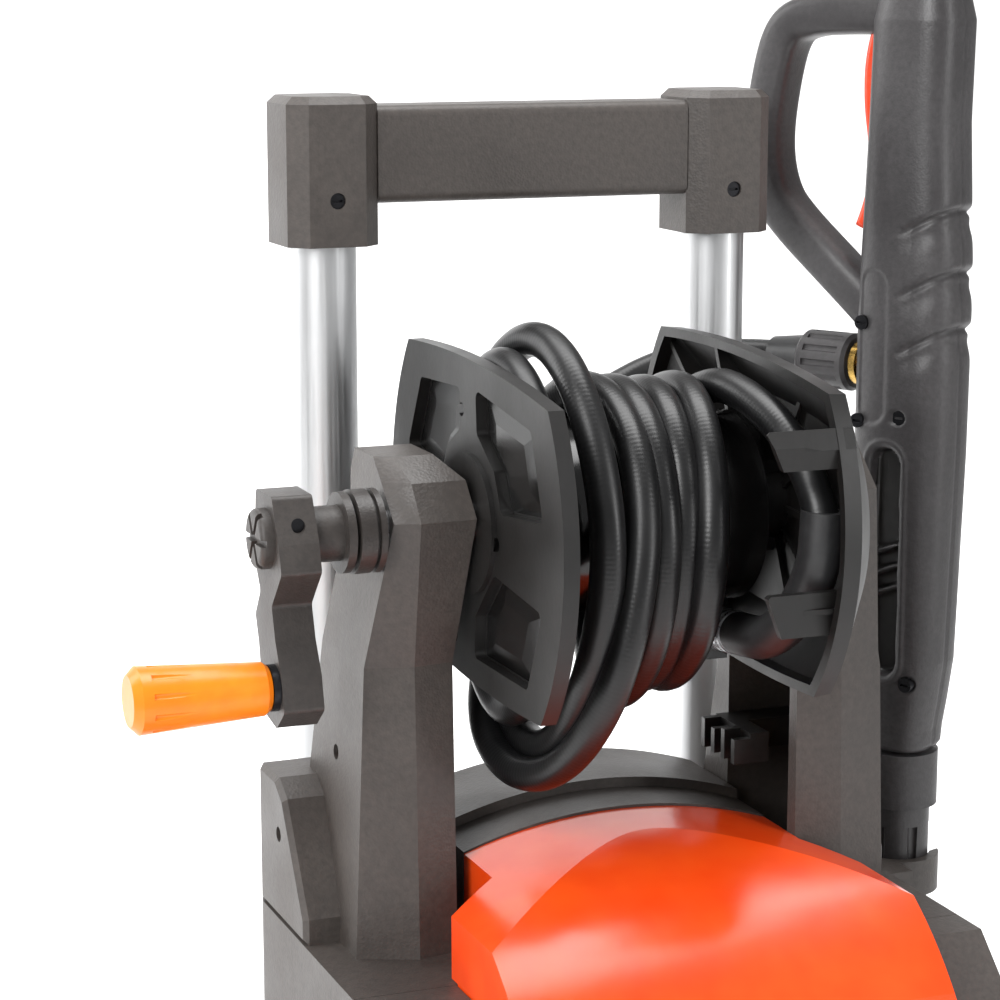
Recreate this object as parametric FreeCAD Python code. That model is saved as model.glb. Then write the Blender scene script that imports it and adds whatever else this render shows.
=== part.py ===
"""Pressure washer with a hose reel, a telescopic handle and a spray gun in its holder.

Millimetres. +Z is up, +X is the operator's right when facing the front, -Y is the front.
The origin is under the middle of the machine, on the floor.
"""

import FreeCAD, Part
import math
import os

from FreeCAD import Vector

# ---- driving dimensions -------------------------------------------------------------------
# Reel axis and its stands
REEL_Y = -20.0
REEL_Z = 562.5
STAND_IN = 67.0
STAND_OUT = 98.0
STAND_HALF_GAP = 64.0
RIGHT_FOOT_IN = 64.0
SHAFT_R = 8.0
RUNNING = 0.06
GAP = 0.3

# Reel
FLANGE_HALF_Y = 71.0
FLANGE_HALF_Z = 56.0
FLANGE_SIDE_BULGE = 17.5
FLANGE_TOP_BULGE = 4.0
LEFT_FLANGE_X = -64.0
FLANGE_T = 6.0
FLANGE_TURN = 3.0
RIGHT_FLANGE_X = 43.0
RIGHT_FLANGE_DEPTH = 19.0
RIGHT_RIM = 7.0
RIGHT_CONE_INSET = 16.0
FLANGE_WALL = 3.5
DRUM_R = 36.0
DRUM_END_X = 40.0
DRUM_WALL = 3.0

# Crank
ARM_IN_X = -127.0
ARM_T = 15.0
GRIP_Y = -8.0
GRIP_Z = -53.0
GRIP_LENGTH = 50.8
GRIP_R_IN = 9.75
GRIP_R_OUT = 12.35
GRIP_PIN_R = 4.5

# Hose
HOSE_R = 6.5

# Handle
TUBE_X = 85.0
TUBE_Y = 89.0
TUBE_R = 13.0
TUBE_WALL = 1.4
TUBE_BOTTOM = 150.0
BLOCK_BOTTOM = 656.0
BLOCK_TOP = 714.0
BLOCK_HALF_X = 18.5
BLOCK_HALF_Y = 20.0

# Body
BODY_HALF_X = 124.0
BODY_BACK = 68.0
BODY_FRONT = -58.0
BODY_TOP = 400.0
WALL = 3.5
CHASSIS_BOTTOM = 12.0
CHASSIS_TOP = 60.0
CHASSIS_FRONT = -150.0
DECK_TOP = BODY_TOP + 48.0
DECK_FRONT = -10.0
DECK_BACK = 58.0
COVER_HALF_X = 84.0
COVER_FRONT = -158.0

# Wheels
WHEEL_R = 90.0
WHEEL_Y = 85.0
WHEEL_IN_X = BODY_HALF_X + 4.0
WHEEL_W = 29.0
AXLE_R = 6.0

# Gun
GUN_X = BODY_HALF_X + 45.3
GUN_Y = 69.0
GUN_TURN = 120.0
GUN_HALF_T = 19.0
GUN_BOTTOM = 429.0
GUN_TOP = 756.0
INLET_Z = 596.0
SLEEVE_R = 14.0
SLEEVE_BOTTOM = 300.0
LANCE_R = 7.5
NOZZLE_BOTTOM = 92.0

# Cable gland, water inlet and feed pipe
GLAND_R = 8.0
GLAND_X = -48.0
GLAND_Z = 130.0
INLET_R = 11.0
WATER_Z = 118.0
FEED_X = 84.0
FEED_Y = 2.0
NIPPLE_R = 13.0
NIPPLE_LENGTH = 20.0

# Controls, motor and pump
KNOB_Z = 250.0
KNOB_R = 22.0
MOTOR_Y = -5.0
MOTOR_R = 50.0
PUMP_TOP = 128.0
MOTOR_TOP = 292.0

# Hose tabs, anchor and the two hose bundles
TAB_FRONT = 80.0
TAB_T = 3.0
UPPER_TAB = (31.0, 45.0, 22.0)
LOWER_TAB = (-30.0, -14.0, 24.0)
WINDOW_TOP = -36.0
ANCHOR_Y = 2.6
LEAD_SLEEVE = 5
WOUND_X0 = -17.7
WOUND_X1 = 25.5
LOOSE_X0 = -57.0
LOOSE_X1 = -18.0
WOUND_HALF_Y = DRUM_R + 17.0
WOUND_HALF_Z = DRUM_R + 28.0
WOUND_DROP = 12.0
LOOSE_THICK = 2 * HOSE_R + 2.0
LOOSE_HALF_Y = DRUM_R + LOOSE_THICK + 8.0
LOOSE_HALF_Z = 92.0
LOOSE_DROP = 19.0

# Screws, trigger and hose nut
SET_R = 2.6
TRIGGER_HALF_T = 6.0
TRIGGER_PIN_R = 2.5
INLET_BORE = 6.05
NUT_START = 26.0
NUT_END = 51.0

X_AXIS = Vector(1, 0, 0)
Y_AXIS = Vector(0, 1, 0)
Z_AXIS = Vector(0, 0, 1)
os.makedirs("parts", exist_ok=True)


# ---- small shape helpers ------------------------------------------------------------------
def box(x0, x1, y0, y1, z0, z1):
    return Part.makeBox(x1 - x0, y1 - y0, z1 - z0, Vector(x0, y0, z0))


def rod(radius, start, end):
    """A round rod from one point to another."""
    axis = end.sub(start)
    return Part.makeCylinder(radius, axis.Length, start, axis)


def ring(outer, inner, start, end):
    return rod(outer, start, end).cut(rod(inner, start, end))


def reel(x, y, z):
    """A point given from the middle of the reel's axis."""
    return Vector(x, y + REEL_Y, z + REEL_Z)


def reel_rod(radius, x0, x1, y=0.0, z=0.0):
    return rod(radius, reel(x0, y, z), reel(x1, y, z))


def reel_ring(outer, inner, x0, x1, y=0.0, z=0.0):
    return reel_rod(outer, x0, x1, y, z).cut(reel_rod(inner, x0, x1, y, z))


def prism(points, direction):
    """A straight-sided solid on a closed outline."""
    wire = Part.makePolygon(list(points) + [points[0]])
    return Part.Face(wire).extrude(direction)


def rounded(shape, radius, picks):
    """Fillets the edges that a test picks."""
    edges = [e for e in shape.Edges if picks(e)]
    return shape.makeFillet(radius, edges)


def vertical(edge):
    a, b = edge.Vertexes[0].Point, edge.Vertexes[-1].Point
    return len(edge.Vertexes) == 2 and abs(a.x - b.x) + abs(a.y - b.y) < 0.001


def along_x(edge):
    a, b = edge.Vertexes[0].Point, edge.Vertexes[-1].Point
    return len(edge.Vertexes) == 2 and abs(a.y - b.y) + abs(a.z - b.z) < 0.001


def fuse(shapes):
    whole = shapes[0].multiFuse(shapes[1:])
    return whole.removeSplitter()


def mirrored(shape):
    return shape.mirror(Vector(0, 0, 0), X_AXIS)


def route_wire(points):
    """Straight runs joined by tangent arcs; returns the wire and its radii."""
    points = [Vector(*p) for p in points]
    edges = []
    radii = []
    at = points[0]
    for before, corner, after in zip(points, points[1:], points[2:]):
        to_before = before.sub(corner)
        to_after = after.sub(corner)
        turn = math.pi - to_before.getAngle(to_after)
        reach = 0.45 * min(to_before.Length, to_after.Length)
        radius = reach / math.tan(turn / 2)
        radii.append(round(radius, 1))
        a = corner.add(to_before.normalize().multiply(reach))
        b = corner.add(to_after.normalize().multiply(reach))
        inward = a.add(b).multiply(0.5).sub(corner)
        centre_far = radius / math.cos(turn / 2)
        middle = corner.add(inward.normalize().multiply(centre_far - radius))
        edges.append(Part.LineSegment(at, a).toShape())
        edges.append(Part.Arc(a, middle, b).toShape())
        at = b
    edges.append(Part.LineSegment(at, points[-1]).toShape())
    return Part.Wire(edges), radii


def tube(points, radius, bore=0.0):
    """A round hose or pipe along a route."""
    wire, radii = route_wire(points)
    first = Vector(*points[0])
    heading = Vector(*points[1]).sub(first)
    section = Part.Wire(Part.Circle(first, heading, radius).toShape())
    solid = wire.makePipeShell([section], True, False)
    if bore:
        hole = Part.Wire(Part.Circle(first, heading, bore).toShape())
        solid = solid.cut(wire.makePipeShell([hole], True, False))
    return solid, wire, radii


def save(name, *shapes):
    solids = [s for shape in shapes for s in shape.Solids]
    for solid in solids:
        if not solid.isValid():
            print("not valid:", name)
    whole = solids[0] if len(solids) == 1 else Part.makeCompound(solids)
    whole.exportStep("parts/" + name + ".step")
    print(name, len(solids), round(whole.Volume / 1000, 1), "cm3")


# ---- chassis, feet, axle and wheels -------------------------------------------------------
def chassis():
    """Moulded tray with cradle walls for the pump and two lugs that carry the axle."""
    outer = box(-BODY_HALF_X, BODY_HALF_X, CHASSIS_FRONT, BODY_BACK, CHASSIS_BOTTOM, CHASSIS_TOP)
    outer = rounded(outer, 16, vertical)
    x = BODY_HALF_X - WALL
    inner = box(-x, x, CHASSIS_FRONT + WALL, BODY_BACK - WALL, CHASSIS_BOTTOM + 4, CHASSIS_TOP)
    tray = outer.cut(rounded(inner, 12, vertical))
    parts = [tray]
    for side in (-1, 1):
        parts.append(box(side * 42 - 2, side * 42 + 2, -48, 38, CHASSIS_BOTTOM + 2, CHASSIS_TOP))
        parts.append(axle_lug(side))
    whole = fuse(parts)
    start = Vector(-BODY_HALF_X, WHEEL_Y, WHEEL_R)
    return whole.cut(rod(AXLE_R + RUNNING, start, Vector(BODY_HALF_X, WHEEL_Y, WHEEL_R)))


def axle_lug(side):
    low, high = sorted((side * (BODY_HALF_X - 2), side * (BODY_HALF_X - 16)))
    outline = [
        Vector(low, BODY_BACK - 2, CHASSIS_BOTTOM + 6),
        Vector(low, WHEEL_Y + 16, WHEEL_R - 12),
        Vector(low, WHEEL_Y + 16, WHEEL_R + 14),
        Vector(low, BODY_BACK + 2, WHEEL_R + 14),
        Vector(low, BODY_BACK + 2, CHASSIS_TOP - 1),
        Vector(low, BODY_BACK - 2, CHASSIS_TOP - 1),
    ]
    return prism(outline, Vector(high - low, 0, 0))


def front_feet():
    feet = []
    for side in (-1, 1):
        start = Vector(side * 96, -122, 0)
        pad = Part.makeCone(15, 18, CHASSIS_BOTTOM, start, Z_AXIS)
        feet.append(pad)
    return feet


def tyre():
    """Right tyre, a rounded ring with a shallow tread groove."""
    x0 = WHEEL_IN_X
    body = ring(WHEEL_R, WHEEL_R - 17, Vector(x0, WHEEL_Y, WHEEL_R), Vector(x0 + WHEEL_W, WHEEL_Y, WHEEL_R))
    outer = [e for e in body.Edges if e.Length > 2 * math.pi * (WHEEL_R - 1)]
    body = body.makeFillet(6, [e for e in outer if len(e.Vertexes) == 1])
    for x in (x0 + WHEEL_W * 0.36, x0 + WHEEL_W * 0.64):
        start = Vector(x - 1, WHEEL_Y, WHEEL_R)
        body = body.cut(ring(WHEEL_R + 1, WHEEL_R - 2, start, Vector(x + 1, WHEEL_Y, WHEEL_R)))
    return body


def wheel_rim():
    """Right rim: outer band, hub, and five double spokes."""
    x0 = WHEEL_IN_X + 1
    x1 = WHEEL_IN_X + WHEEL_W - 1
    centre0 = Vector(x0, WHEEL_Y, WHEEL_R)
    centre1 = Vector(x1, WHEEL_Y, WHEEL_R)
    band = ring(WHEEL_R - 17.1, WHEEL_R - 23, centre0, centre1)
    hub = rod(19, centre0, Vector(x1 - 1, WHEEL_Y, WHEEL_R))
    plate = rod(WHEEL_R - 20, Vector(x0 + 10, WHEEL_Y, WHEEL_R), Vector(x0 + 13, WHEEL_Y, WHEEL_R))
    parts = [band, hub, plate]
    for i in range(5):
        spoke = box(x0 + 3, x1 - 4, WHEEL_Y - 7, WHEEL_Y + 7, WHEEL_R + 15, WHEEL_R + WHEEL_R - 20)
        spoke.rotate(Vector(0, WHEEL_Y, WHEEL_R), X_AXIS, 72 * i)
        parts.append(spoke)
    whole = fuse(parts)
    return whole.cut(rod(AXLE_R + RUNNING, centre0, Vector(x1 - 3, WHEEL_Y, WHEEL_R)))


def axle():
    x = WHEEL_IN_X + WHEEL_W - 4 - GAP
    return rod(AXLE_R, Vector(-x, WHEEL_Y, WHEEL_R), Vector(x, WHEEL_Y, WHEEL_R))


# ---- housing ------------------------------------------------------------------------------
def rear_housing():
    """Main shell, open below and in front, with two blind guides for the handle tubes."""
    outer = box(-BODY_HALF_X, BODY_HALF_X, BODY_FRONT, BODY_BACK, CHASSIS_TOP, BODY_TOP)
    outer = rounded(outer, 14, lambda e: vertical(e) and e.CenterOfMass.y > 0)
    x = BODY_HALF_X - WALL
    inner = box(-x, x, BODY_FRONT + WALL, BODY_BACK - WALL, CHASSIS_TOP, BODY_TOP - WALL)
    shell = outer.cut(inner)
    shell = shell.cut(box(-78, 78, BODY_FRONT - 1, BODY_FRONT + WALL + 1, CHASSIS_TOP - 1, 380))
    guides = []
    for side in (-1, 1):
        x = side * TUBE_X
        guides.append(rod(TUBE_R + 5, Vector(x, TUBE_Y, TUBE_BOTTOM - 8), Vector(x, TUBE_Y, BODY_TOP)))
        guides.append(box(x - 12, x + 12, BODY_BACK - 1, TUBE_Y, TUBE_BOTTOM - 8, BODY_TOP))
    whole = fuse([shell] + guides)
    for side in (-1, 1):
        x = side * TUBE_X
        whole = whole.cut(rod(TUBE_R + 0.08, Vector(x, TUBE_Y, TUBE_BOTTOM), Vector(x, TUBE_Y, BODY_TOP)))
    # Cooling slots in the back, the gland's hole, the inlet's hole and the feed pipe's hole
    for row in range(8):
        z = 210 + 20 * row
        whole = whole.cut(box(-46, 46, BODY_BACK - WALL - 1, BODY_BACK + 1, z, z + 7))
    whole = whole.cut(rod(GLAND_R, Vector(GLAND_X, BODY_BACK - 8, GLAND_Z), Vector(GLAND_X, BODY_BACK + 1, GLAND_Z)))
    whole = whole.cut(rod(INLET_R, Vector(0, BODY_BACK - 8, WATER_Z), Vector(0, BODY_BACK + 1, WATER_Z)))
    top = Vector(FEED_X, REEL_Y + FEED_Y, BODY_TOP)
    return whole.cut(rod(6.5, top.sub(Vector(0, 0, 6)), top.add(Vector(0, 0, 1))))


def tube_collars():
    rings = []
    for side in (-1, 1):
        x = side * TUBE_X
        low = Vector(x, TUBE_Y, BODY_TOP)
        collar = ring(TUBE_R + 7, TUBE_R + 0.08, low, Vector(x, TUBE_Y, BODY_TOP + 20))
        top = [e for e in collar.Edges if e.CenterOfMass.z > BODY_TOP + 19 and e.Length > 100]
        rings.append(collar.makeFillet(3, [e for e in top if len(e.Vertexes) == 1]))
    return rings


def cable_gland():
    y0 = BODY_BACK
    base = ring(14, 4.2, Vector(GLAND_X, y0, GLAND_Z), Vector(GLAND_X, y0 + 5, GLAND_Z))
    neck = ring(GLAND_R - 0.2, 4.2, Vector(GLAND_X, y0 - 7, GLAND_Z), Vector(GLAND_X, y0, GLAND_Z))
    cone = Part.makeCone(11, 6.5, 20, Vector(GLAND_X, y0 + 5, GLAND_Z), Y_AXIS)
    cone = cone.cut(rod(4.2, Vector(GLAND_X, y0, GLAND_Z), Vector(GLAND_X, y0 + 30, GLAND_Z)))
    return fuse([base, neck, cone])


def water_inlet():
    """Threaded brass nipple for a garden hose, with its pipe to the pump."""
    y0 = BODY_BACK
    start = Vector(0, 38, WATER_Z)
    parts = [rod(7, start, Vector(0, y0 - 2, WATER_Z))]
    parts.append(rod(INLET_R - 0.2, Vector(0, y0 - 10, WATER_Z), Vector(0, y0 + 2, WATER_Z)))
    parts.append(rod(17, Vector(0, y0, WATER_Z), Vector(0, y0 + 4, WATER_Z)))
    parts.append(rod(NIPPLE_R, Vector(0, y0 + 4, WATER_Z), Vector(0, y0 + 4 + NIPPLE_LENGTH, WATER_Z)))
    whole = fuse(parts)
    return whole.cut(rod(5, start, Vector(0, y0 + 60, WATER_Z)))


def deck_arc(half, top, drop, floor, y0, y1):
    """A crowned block: an arch across the machine, carried along Y."""
    arch = Part.Arc(Vector(-half, y0, top - drop), Vector(0, y0, top), Vector(half, y0, top - drop))
    sides = [
        Part.LineSegment(Vector(half, y0, top - drop), Vector(half, y0, floor)),
        Part.LineSegment(Vector(half, y0, floor), Vector(-half, y0, floor)),
        Part.LineSegment(Vector(-half, y0, floor), Vector(-half, y0, top - drop)),
    ]
    wire = Part.Wire([arch.toShape()] + [s.toShape() for s in sides])
    return Part.Face(wire).extrude(Vector(0, y1 - y0, 0))


def top_shroud():
    """Dark deck under the reel, crowned, in two steps with a groove between them."""
    half = STAND_HALF_GAP - 0.5
    step_y = DECK_FRONT + 24
    rear = deck_arc(half, DECK_TOP, 11, BODY_TOP, step_y, DECK_BACK)
    front = deck_arc(half, DECK_TOP - 4, 11, BODY_TOP, DECK_FRONT, step_y + 1)
    whole = fuse([rear, front])
    hollow = deck_arc(half - WALL, DECK_TOP - 4 - WALL, 11, BODY_TOP, DECK_FRONT + WALL, DECK_BACK - WALL)
    return whole.cut(hollow)


def cover_block(inset):
    """The front cover's outer form: a side profile, rounded in plan and crowned on top."""
    half = COVER_HALF_X - inset
    front = COVER_FRONT + inset
    back = BODY_FRONT - GAP
    low = CHASSIS_TOP + (inset if inset else 0)
    top = DECK_TOP - 5 - inset
    points = [
        Vector(0, back, low),
        Vector(0, front + 20, low),
        Vector(0, front, low + 40),
    ]
    lines = [Part.LineSegment(a, b).toShape() for a, b in zip(points, points[1:])]
    nose = Vector(0, front, 300)
    brow = Vector(0, front + 34, top - 46)
    lines.append(Part.LineSegment(points[-1], nose).toShape())
    lines.append(Part.Arc(nose, Vector(0, front + 9, 352), brow).toShape())
    crest = Vector(0, DECK_FRONT - GAP - inset, top)
    lines.append(Part.Arc(brow, Vector(0, front + 78, top - 12), crest).toShape())
    under = Vector(0, DECK_FRONT - GAP - inset, BODY_TOP + GAP)
    corner = Vector(0, back, BODY_TOP + GAP)
    for a, b in ((crest, under), (under, corner), (corner, points[0])):
        lines.append(Part.LineSegment(a, b).toShape())
    profile = Part.Face(Part.Wire(lines))
    profile.translate(Vector(-half, 0, 0))
    block = profile.extrude(Vector(2 * half, 0, 0))
    return block.common(cover_plan(inset)).common(cover_crown(inset, top))


def cover_plan(inset):
    """Seen from above: a bowed front, and a narrower tongue between the reel stands."""
    half = COVER_HALF_X - inset
    tongue = STAND_HALF_GAP - 0.5 - inset
    side_front = COVER_FRONT + 22 + inset
    neck = BODY_FRONT + 6
    points = [
        Vector(half, side_front, 0),
        Vector(half, neck, 0),
        Vector(tongue, neck + 12, 0),
        Vector(tongue, DECK_FRONT, 0),
        Vector(-tongue, DECK_FRONT, 0),
        Vector(-tongue, neck + 12, 0),
        Vector(-half, neck, 0),
        Vector(-half, side_front, 0),
    ]
    edges = [Part.LineSegment(a, b).toShape() for a, b in zip(points, points[1:])]
    middle = Vector(0, COVER_FRONT + inset, 0)
    edges.append(Part.Arc(points[-1], middle, points[0]).toShape())
    return Part.Face(Part.Wire(edges)).extrude(Vector(0, 0, 900))


def cover_crown(inset, top):
    half = COVER_HALF_X + 1
    drop = 11 * (half / STAND_HALF_GAP) ** 2
    return deck_arc(half, top, drop, 0, -300, 300)


def front_cover():
    outer = cover_block(0)
    shell = outer.cut(cover_block(WALL))
    boss = rod(34, Vector(0, COVER_FRONT + 6, KNOB_Z), Vector(0, COVER_FRONT - 1, KNOB_Z))
    stem = rod(9, Vector(0, COVER_FRONT - 2, KNOB_Z), Vector(0, COVER_FRONT + 12, KNOB_Z))
    return fuse([shell, boss]).cut(stem)


def switch_bezel():
    face = COVER_FRONT - 1
    disc = ring(31, 9, Vector(0, face, KNOB_Z), Vector(0, face - 4, KNOB_Z))
    outer = [e for e in disc.Edges if e.CenterOfMass.y < face - 3 and e.Length > 150]
    return disc.makeFillet(1.5, [e for e in outer if len(e.Vertexes) == 1])


def switch_knob():
    face = COVER_FRONT - 5 - GAP
    disc = rod(KNOB_R, Vector(0, face, KNOB_Z), Vector(0, face - 4, KNOB_Z))
    grip = box(-5, 5, -175, face - 3, KNOB_Z - 20, KNOB_Z + 20)
    grip = grip.common(rod(20, Vector(0, face, KNOB_Z), Vector(0, -175, KNOB_Z)))
    stem = rod(4, Vector(0, face, KNOB_Z), Vector(0, COVER_FRONT + 14, KNOB_Z))
    return fuse([disc, grip, stem])


def power_switch():
    block = box(-18, 18, COVER_FRONT + 6, COVER_FRONT + 40, KNOB_Z - 24, KNOB_Z + 24)
    well = rod(4 + RUNNING, Vector(0, COVER_FRONT + 5, KNOB_Z), Vector(0, COVER_FRONT + 14 + GAP, KNOB_Z))
    return block.cut(well)


def side_panel():
    """Right lower side panel beside the front cover, with cooling slots."""
    x0 = COVER_HALF_X + 0.5
    outline = [
        Vector(x0, BODY_FRONT - GAP, CHASSIS_TOP),
        Vector(x0, COVER_FRONT + 24, CHASSIS_TOP),
        Vector(x0, COVER_FRONT + 24, 316),
        Vector(x0, COVER_FRONT + 52, 372),
        Vector(x0, BODY_FRONT - 18, BODY_TOP),
        Vector(x0, BODY_FRONT - GAP, BODY_TOP),
    ]
    depth = BODY_HALF_X - x0
    outer = prism(outline, Vector(depth, 0, 0))
    outer = rounded(outer, 16, lambda e: vertical(e) and e.CenterOfMass.x > x0 + 1 and e.CenterOfMass.y < -100)
    inner = [
        Vector(x0 - 1, BODY_FRONT, CHASSIS_TOP - 1),
        Vector(x0 - 1, COVER_FRONT + 24 + WALL, CHASSIS_TOP - 1),
        Vector(x0 - 1, COVER_FRONT + 24 + WALL, 315),
        Vector(x0 - 1, COVER_FRONT + 54 + WALL, 369),
        Vector(x0 - 1, BODY_FRONT - 18, BODY_TOP - WALL),
        Vector(x0 - 1, BODY_FRONT, BODY_TOP - WALL),
    ]
    shell = outer.cut(prism(inner, Vector(depth + 1 - WALL, 0, 0)))
    for row in range(7):
        z = 150 + 22 * row
        shell = shell.cut(box(BODY_HALF_X - WALL - 1, BODY_HALF_X + 1, -118, -72, z, z + 8))
    return shell


# ---- motor and pump -----------------------------------------------------------------------


def motor_housing():
    low = Vector(0, MOTOR_Y, PUMP_TOP)
    high = Vector(0, MOTOR_Y, MOTOR_TOP)
    can = ring(MOTOR_R, MOTOR_R - 5, low, high)
    plates = []
    for z in (PUMP_TOP, MOTOR_TOP - 5):
        plates.append(ring(MOTOR_R, 5 + RUNNING, Vector(0, MOTOR_Y, z), Vector(0, MOTOR_Y, z + 5)))
    fins = []
    for i in range(16):
        fin = box(MOTOR_R - 1, MOTOR_R + 4, -1, 1, PUMP_TOP + 14, MOTOR_TOP - 14)
        fin.rotate(Vector(0, 0, 0), Z_AXIS, 22.5 * i)
        fin.translate(Vector(0, MOTOR_Y, 0))
        fins.append(fin)
    return fuse([can] + plates + fins)


def stator():
    inner = MOTOR_R - 5.1
    core = ring(inner, 28.5, Vector(0, MOTOR_Y, 156), Vector(0, MOTOR_Y, 258))
    ends = ring(inner - 6, 31, Vector(0, MOTOR_Y, 144), Vector(0, MOTOR_Y, 270))
    return fuse([core, ends])


def motor_rotor():
    core = rod(28, Vector(0, MOTOR_Y, 158), Vector(0, MOTOR_Y, 256))
    shaft = rod(5, Vector(0, MOTOR_Y, PUMP_TOP - 18), Vector(0, MOTOR_Y, MOTOR_TOP + 24))
    return fuse([core, shaft])


def cooling_fan():
    z0 = MOTOR_TOP + 4
    hub = ring(12, 5.02, Vector(0, MOTOR_Y, z0), Vector(0, MOTOR_Y, z0 + 16))
    disc = ring(44, 5.02, Vector(0, MOTOR_Y, z0), Vector(0, MOTOR_Y, z0 + 2))
    parts = [hub, disc]
    for i in range(9):
        blade = box(10, 43, -1, 1, z0 + 1, z0 + 15)
        blade.rotate(Vector(10, 0, 0), Z_AXIS, 25)
        blade.rotate(Vector(0, 0, 0), Z_AXIS, 40 * i)
        blade.translate(Vector(0, MOTOR_Y, 0))
        parts.append(blade)
    whole = fuse(parts)
    return whole.cut(rod(5.02, Vector(0, MOTOR_Y, z0), Vector(0, MOTOR_Y, z0 + 16)))


def pump_block():
    """Cast gear and pump case on the cradle, with a port on the right for the feed pipe."""
    case = box(-44, 44, -48, 38, CHASSIS_TOP, PUMP_TOP)
    case = rounded(case, 10, vertical)
    return case.cut(rod(16, Vector(0, MOTOR_Y, PUMP_TOP - 22), Vector(0, MOTOR_Y, PUMP_TOP)))


def pump_head():
    block = box(-34, 34, -84, -48, CHASSIS_TOP + 4, PUMP_TOP - 8)
    bolts = []
    for x in (-24, 0, 24):
        bolts.append(rod(6, Vector(x, -84, 84), Vector(x, -92, 84)))
    return fuse([block] + bolts)


def feed_pipe():
    """Pressure pipe from the pump up inside the right stand to the reel's swivel."""
    y = REEL_Y + FEED_Y
    bend = 22.0
    port_z = 104.0
    top = Vector(FEED_X, y, REEL_Z - 12)
    low = Vector(FEED_X, y, port_z + bend)
    side = Vector(FEED_X - bend, y, port_z)
    middle = Vector(FEED_X - bend + bend * math.sin(math.pi / 4), y, port_z + bend - bend * math.cos(math.pi / 4))
    run = [
        Part.LineSegment(top, low).toShape(),
        Part.Arc(low, middle, side).toShape(),
        Part.LineSegment(side, Vector(44, y, port_z)).toShape(),
    ]
    section = Part.Wire(Part.Circle(top, Z_AXIS, 5).toShape())
    return Part.Wire(run).makePipeShell([section], True, False)


# ---- reel stands --------------------------------------------------------------------------
def stand_level(z, front, ridge, outer_front, outer_x, inner_x, back, ridge_at):
    """One level of the left stand: a five-sided outline whose front has an upright ridge."""
    mid_x = inner_x + (outer_x - inner_x) * ridge_at
    points = [
        reel(-inner_x, front, z),
        reel(-mid_x, ridge, z),
        reel(-outer_x, outer_front, z),
        reel(-outer_x, back, z),
        reel(-inner_x, back, z),
    ]
    return Part.makePolygon(points + [points[0]])


def left_stand_block():
    foot = BODY_TOP - REEL_Z
    levels = [
        stand_level(foot, -6, -9, 0, STAND_OUT + 12, STAND_IN + 5, 75, 0.42),
        stand_level(-53, 4, 1, 6, STAND_OUT + 6, STAND_IN + 3, 56, 0.47),
        stand_level(4, -14, -15, -12, STAND_OUT, STAND_IN, 38, 0.7),
        stand_level(17, -5, -5.5, 2, STAND_OUT, STAND_IN + 1, 37, 0.7),
        stand_level(25, 8, 7.5, 11, STAND_OUT, STAND_IN + 9, 32, 0.7),
    ]
    return Part.makeLoft(levels, True, True)


def side_foot():
    """Wedge-shaped bracket outside the stand."""
    foot = BODY_TOP - REEL_Z
    outline = [(20, foot), (20, foot + 10), (46, foot + 50), (56, foot + 56), (78, foot + 56), (78, foot)]
    block = prism([reel(-BODY_HALF_X, y, z) for y, z in outline], Vector(BODY_HALF_X - STAND_OUT - 2, 0, 0))
    return block.makeChamfer(2, [e for e in block.Edges if e.CenterOfMass.x < 0.5 - BODY_HALF_X])


def left_stand():
    whole = fuse([left_stand_block(), side_foot()])
    whole = whole.cut(reel_rod(SHAFT_R + RUNNING, -STAND_OUT - 5, -STAND_IN + 5))
    # Two screw wells on the outer face
    for y, z in ((34, -92), (52, -128)):
        whole = whole.cut(reel_rod(3.0, -BODY_HALF_X - 1, -BODY_HALF_X + 22, y, z))
    return whole


def right_stand_block():
    foot = BODY_TOP - REEL_Z
    levels = [
        stand_level(foot, -16, -17, -14, STAND_OUT + 6, RIGHT_FOOT_IN, 75, 0.5),
        stand_level(-66, -15, -16, -13, STAND_OUT + 3, RIGHT_FOOT_IN, 52, 0.5),
        stand_level(-60, -15, -16, -13, STAND_OUT + 2, STAND_IN, 50, 0.5),
        stand_level(4, -14, -15, -12, STAND_OUT, STAND_IN, 38, 0.5),
        stand_level(25, 8, 7.5, 11, STAND_OUT, STAND_IN + 9, 32, 0.5),
    ]
    return mirrored(Part.makeLoft(levels, True, True))


def right_stand():
    whole = fuse([right_stand_block(), mirrored(side_foot())])
    whole = whole.cut(reel_rod(SHAFT_R + RUNNING, STAND_IN - 5, STAND_OUT - 5))
    # Chamber for the swivel and the feed pipe, open at the foot and, lower down, to the reel
    chamber = box(76, 92, REEL_Y - 8, REEL_Y + 24, BODY_TOP - 1, REEL_Z + 14)
    window = box(RIGHT_FOOT_IN - 1, 94, REEL_Y - 9, REEL_Y + 44, BODY_TOP + 4, REEL_Z + WINDOW_TOP)
    return whole.cut(chamber).cut(window)


def swivel_block():
    """Brass swivel that feeds the hollow shaft."""
    block = box(76, 92, REEL_Y - 7.6, REEL_Y + 12, REEL_Z - 12, REEL_Z + 11)
    return block.cut(reel_rod(SHAFT_R + RUNNING, 75, 90))


def accessory_clip():
    """Small comb clip on the inner face of the right stand."""
    base = box(60, 94, REEL_Y + 30, REEL_Y + 44, REEL_Z - 108, REEL_Z - 96)
    teeth = []
    for i in range(4):
        y = REEL_Y + 12 + 9 * i
        teeth.append(box(51, 61, y, y + 3, REEL_Z - 108, REEL_Z - 98 + (2 if i % 2 else 0)))
    plate = box(58, 66, REEL_Y + 12, REEL_Y + 44, REEL_Z - 108, REEL_Z - 96)
    return fuse([base, plate] + teeth)


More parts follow.
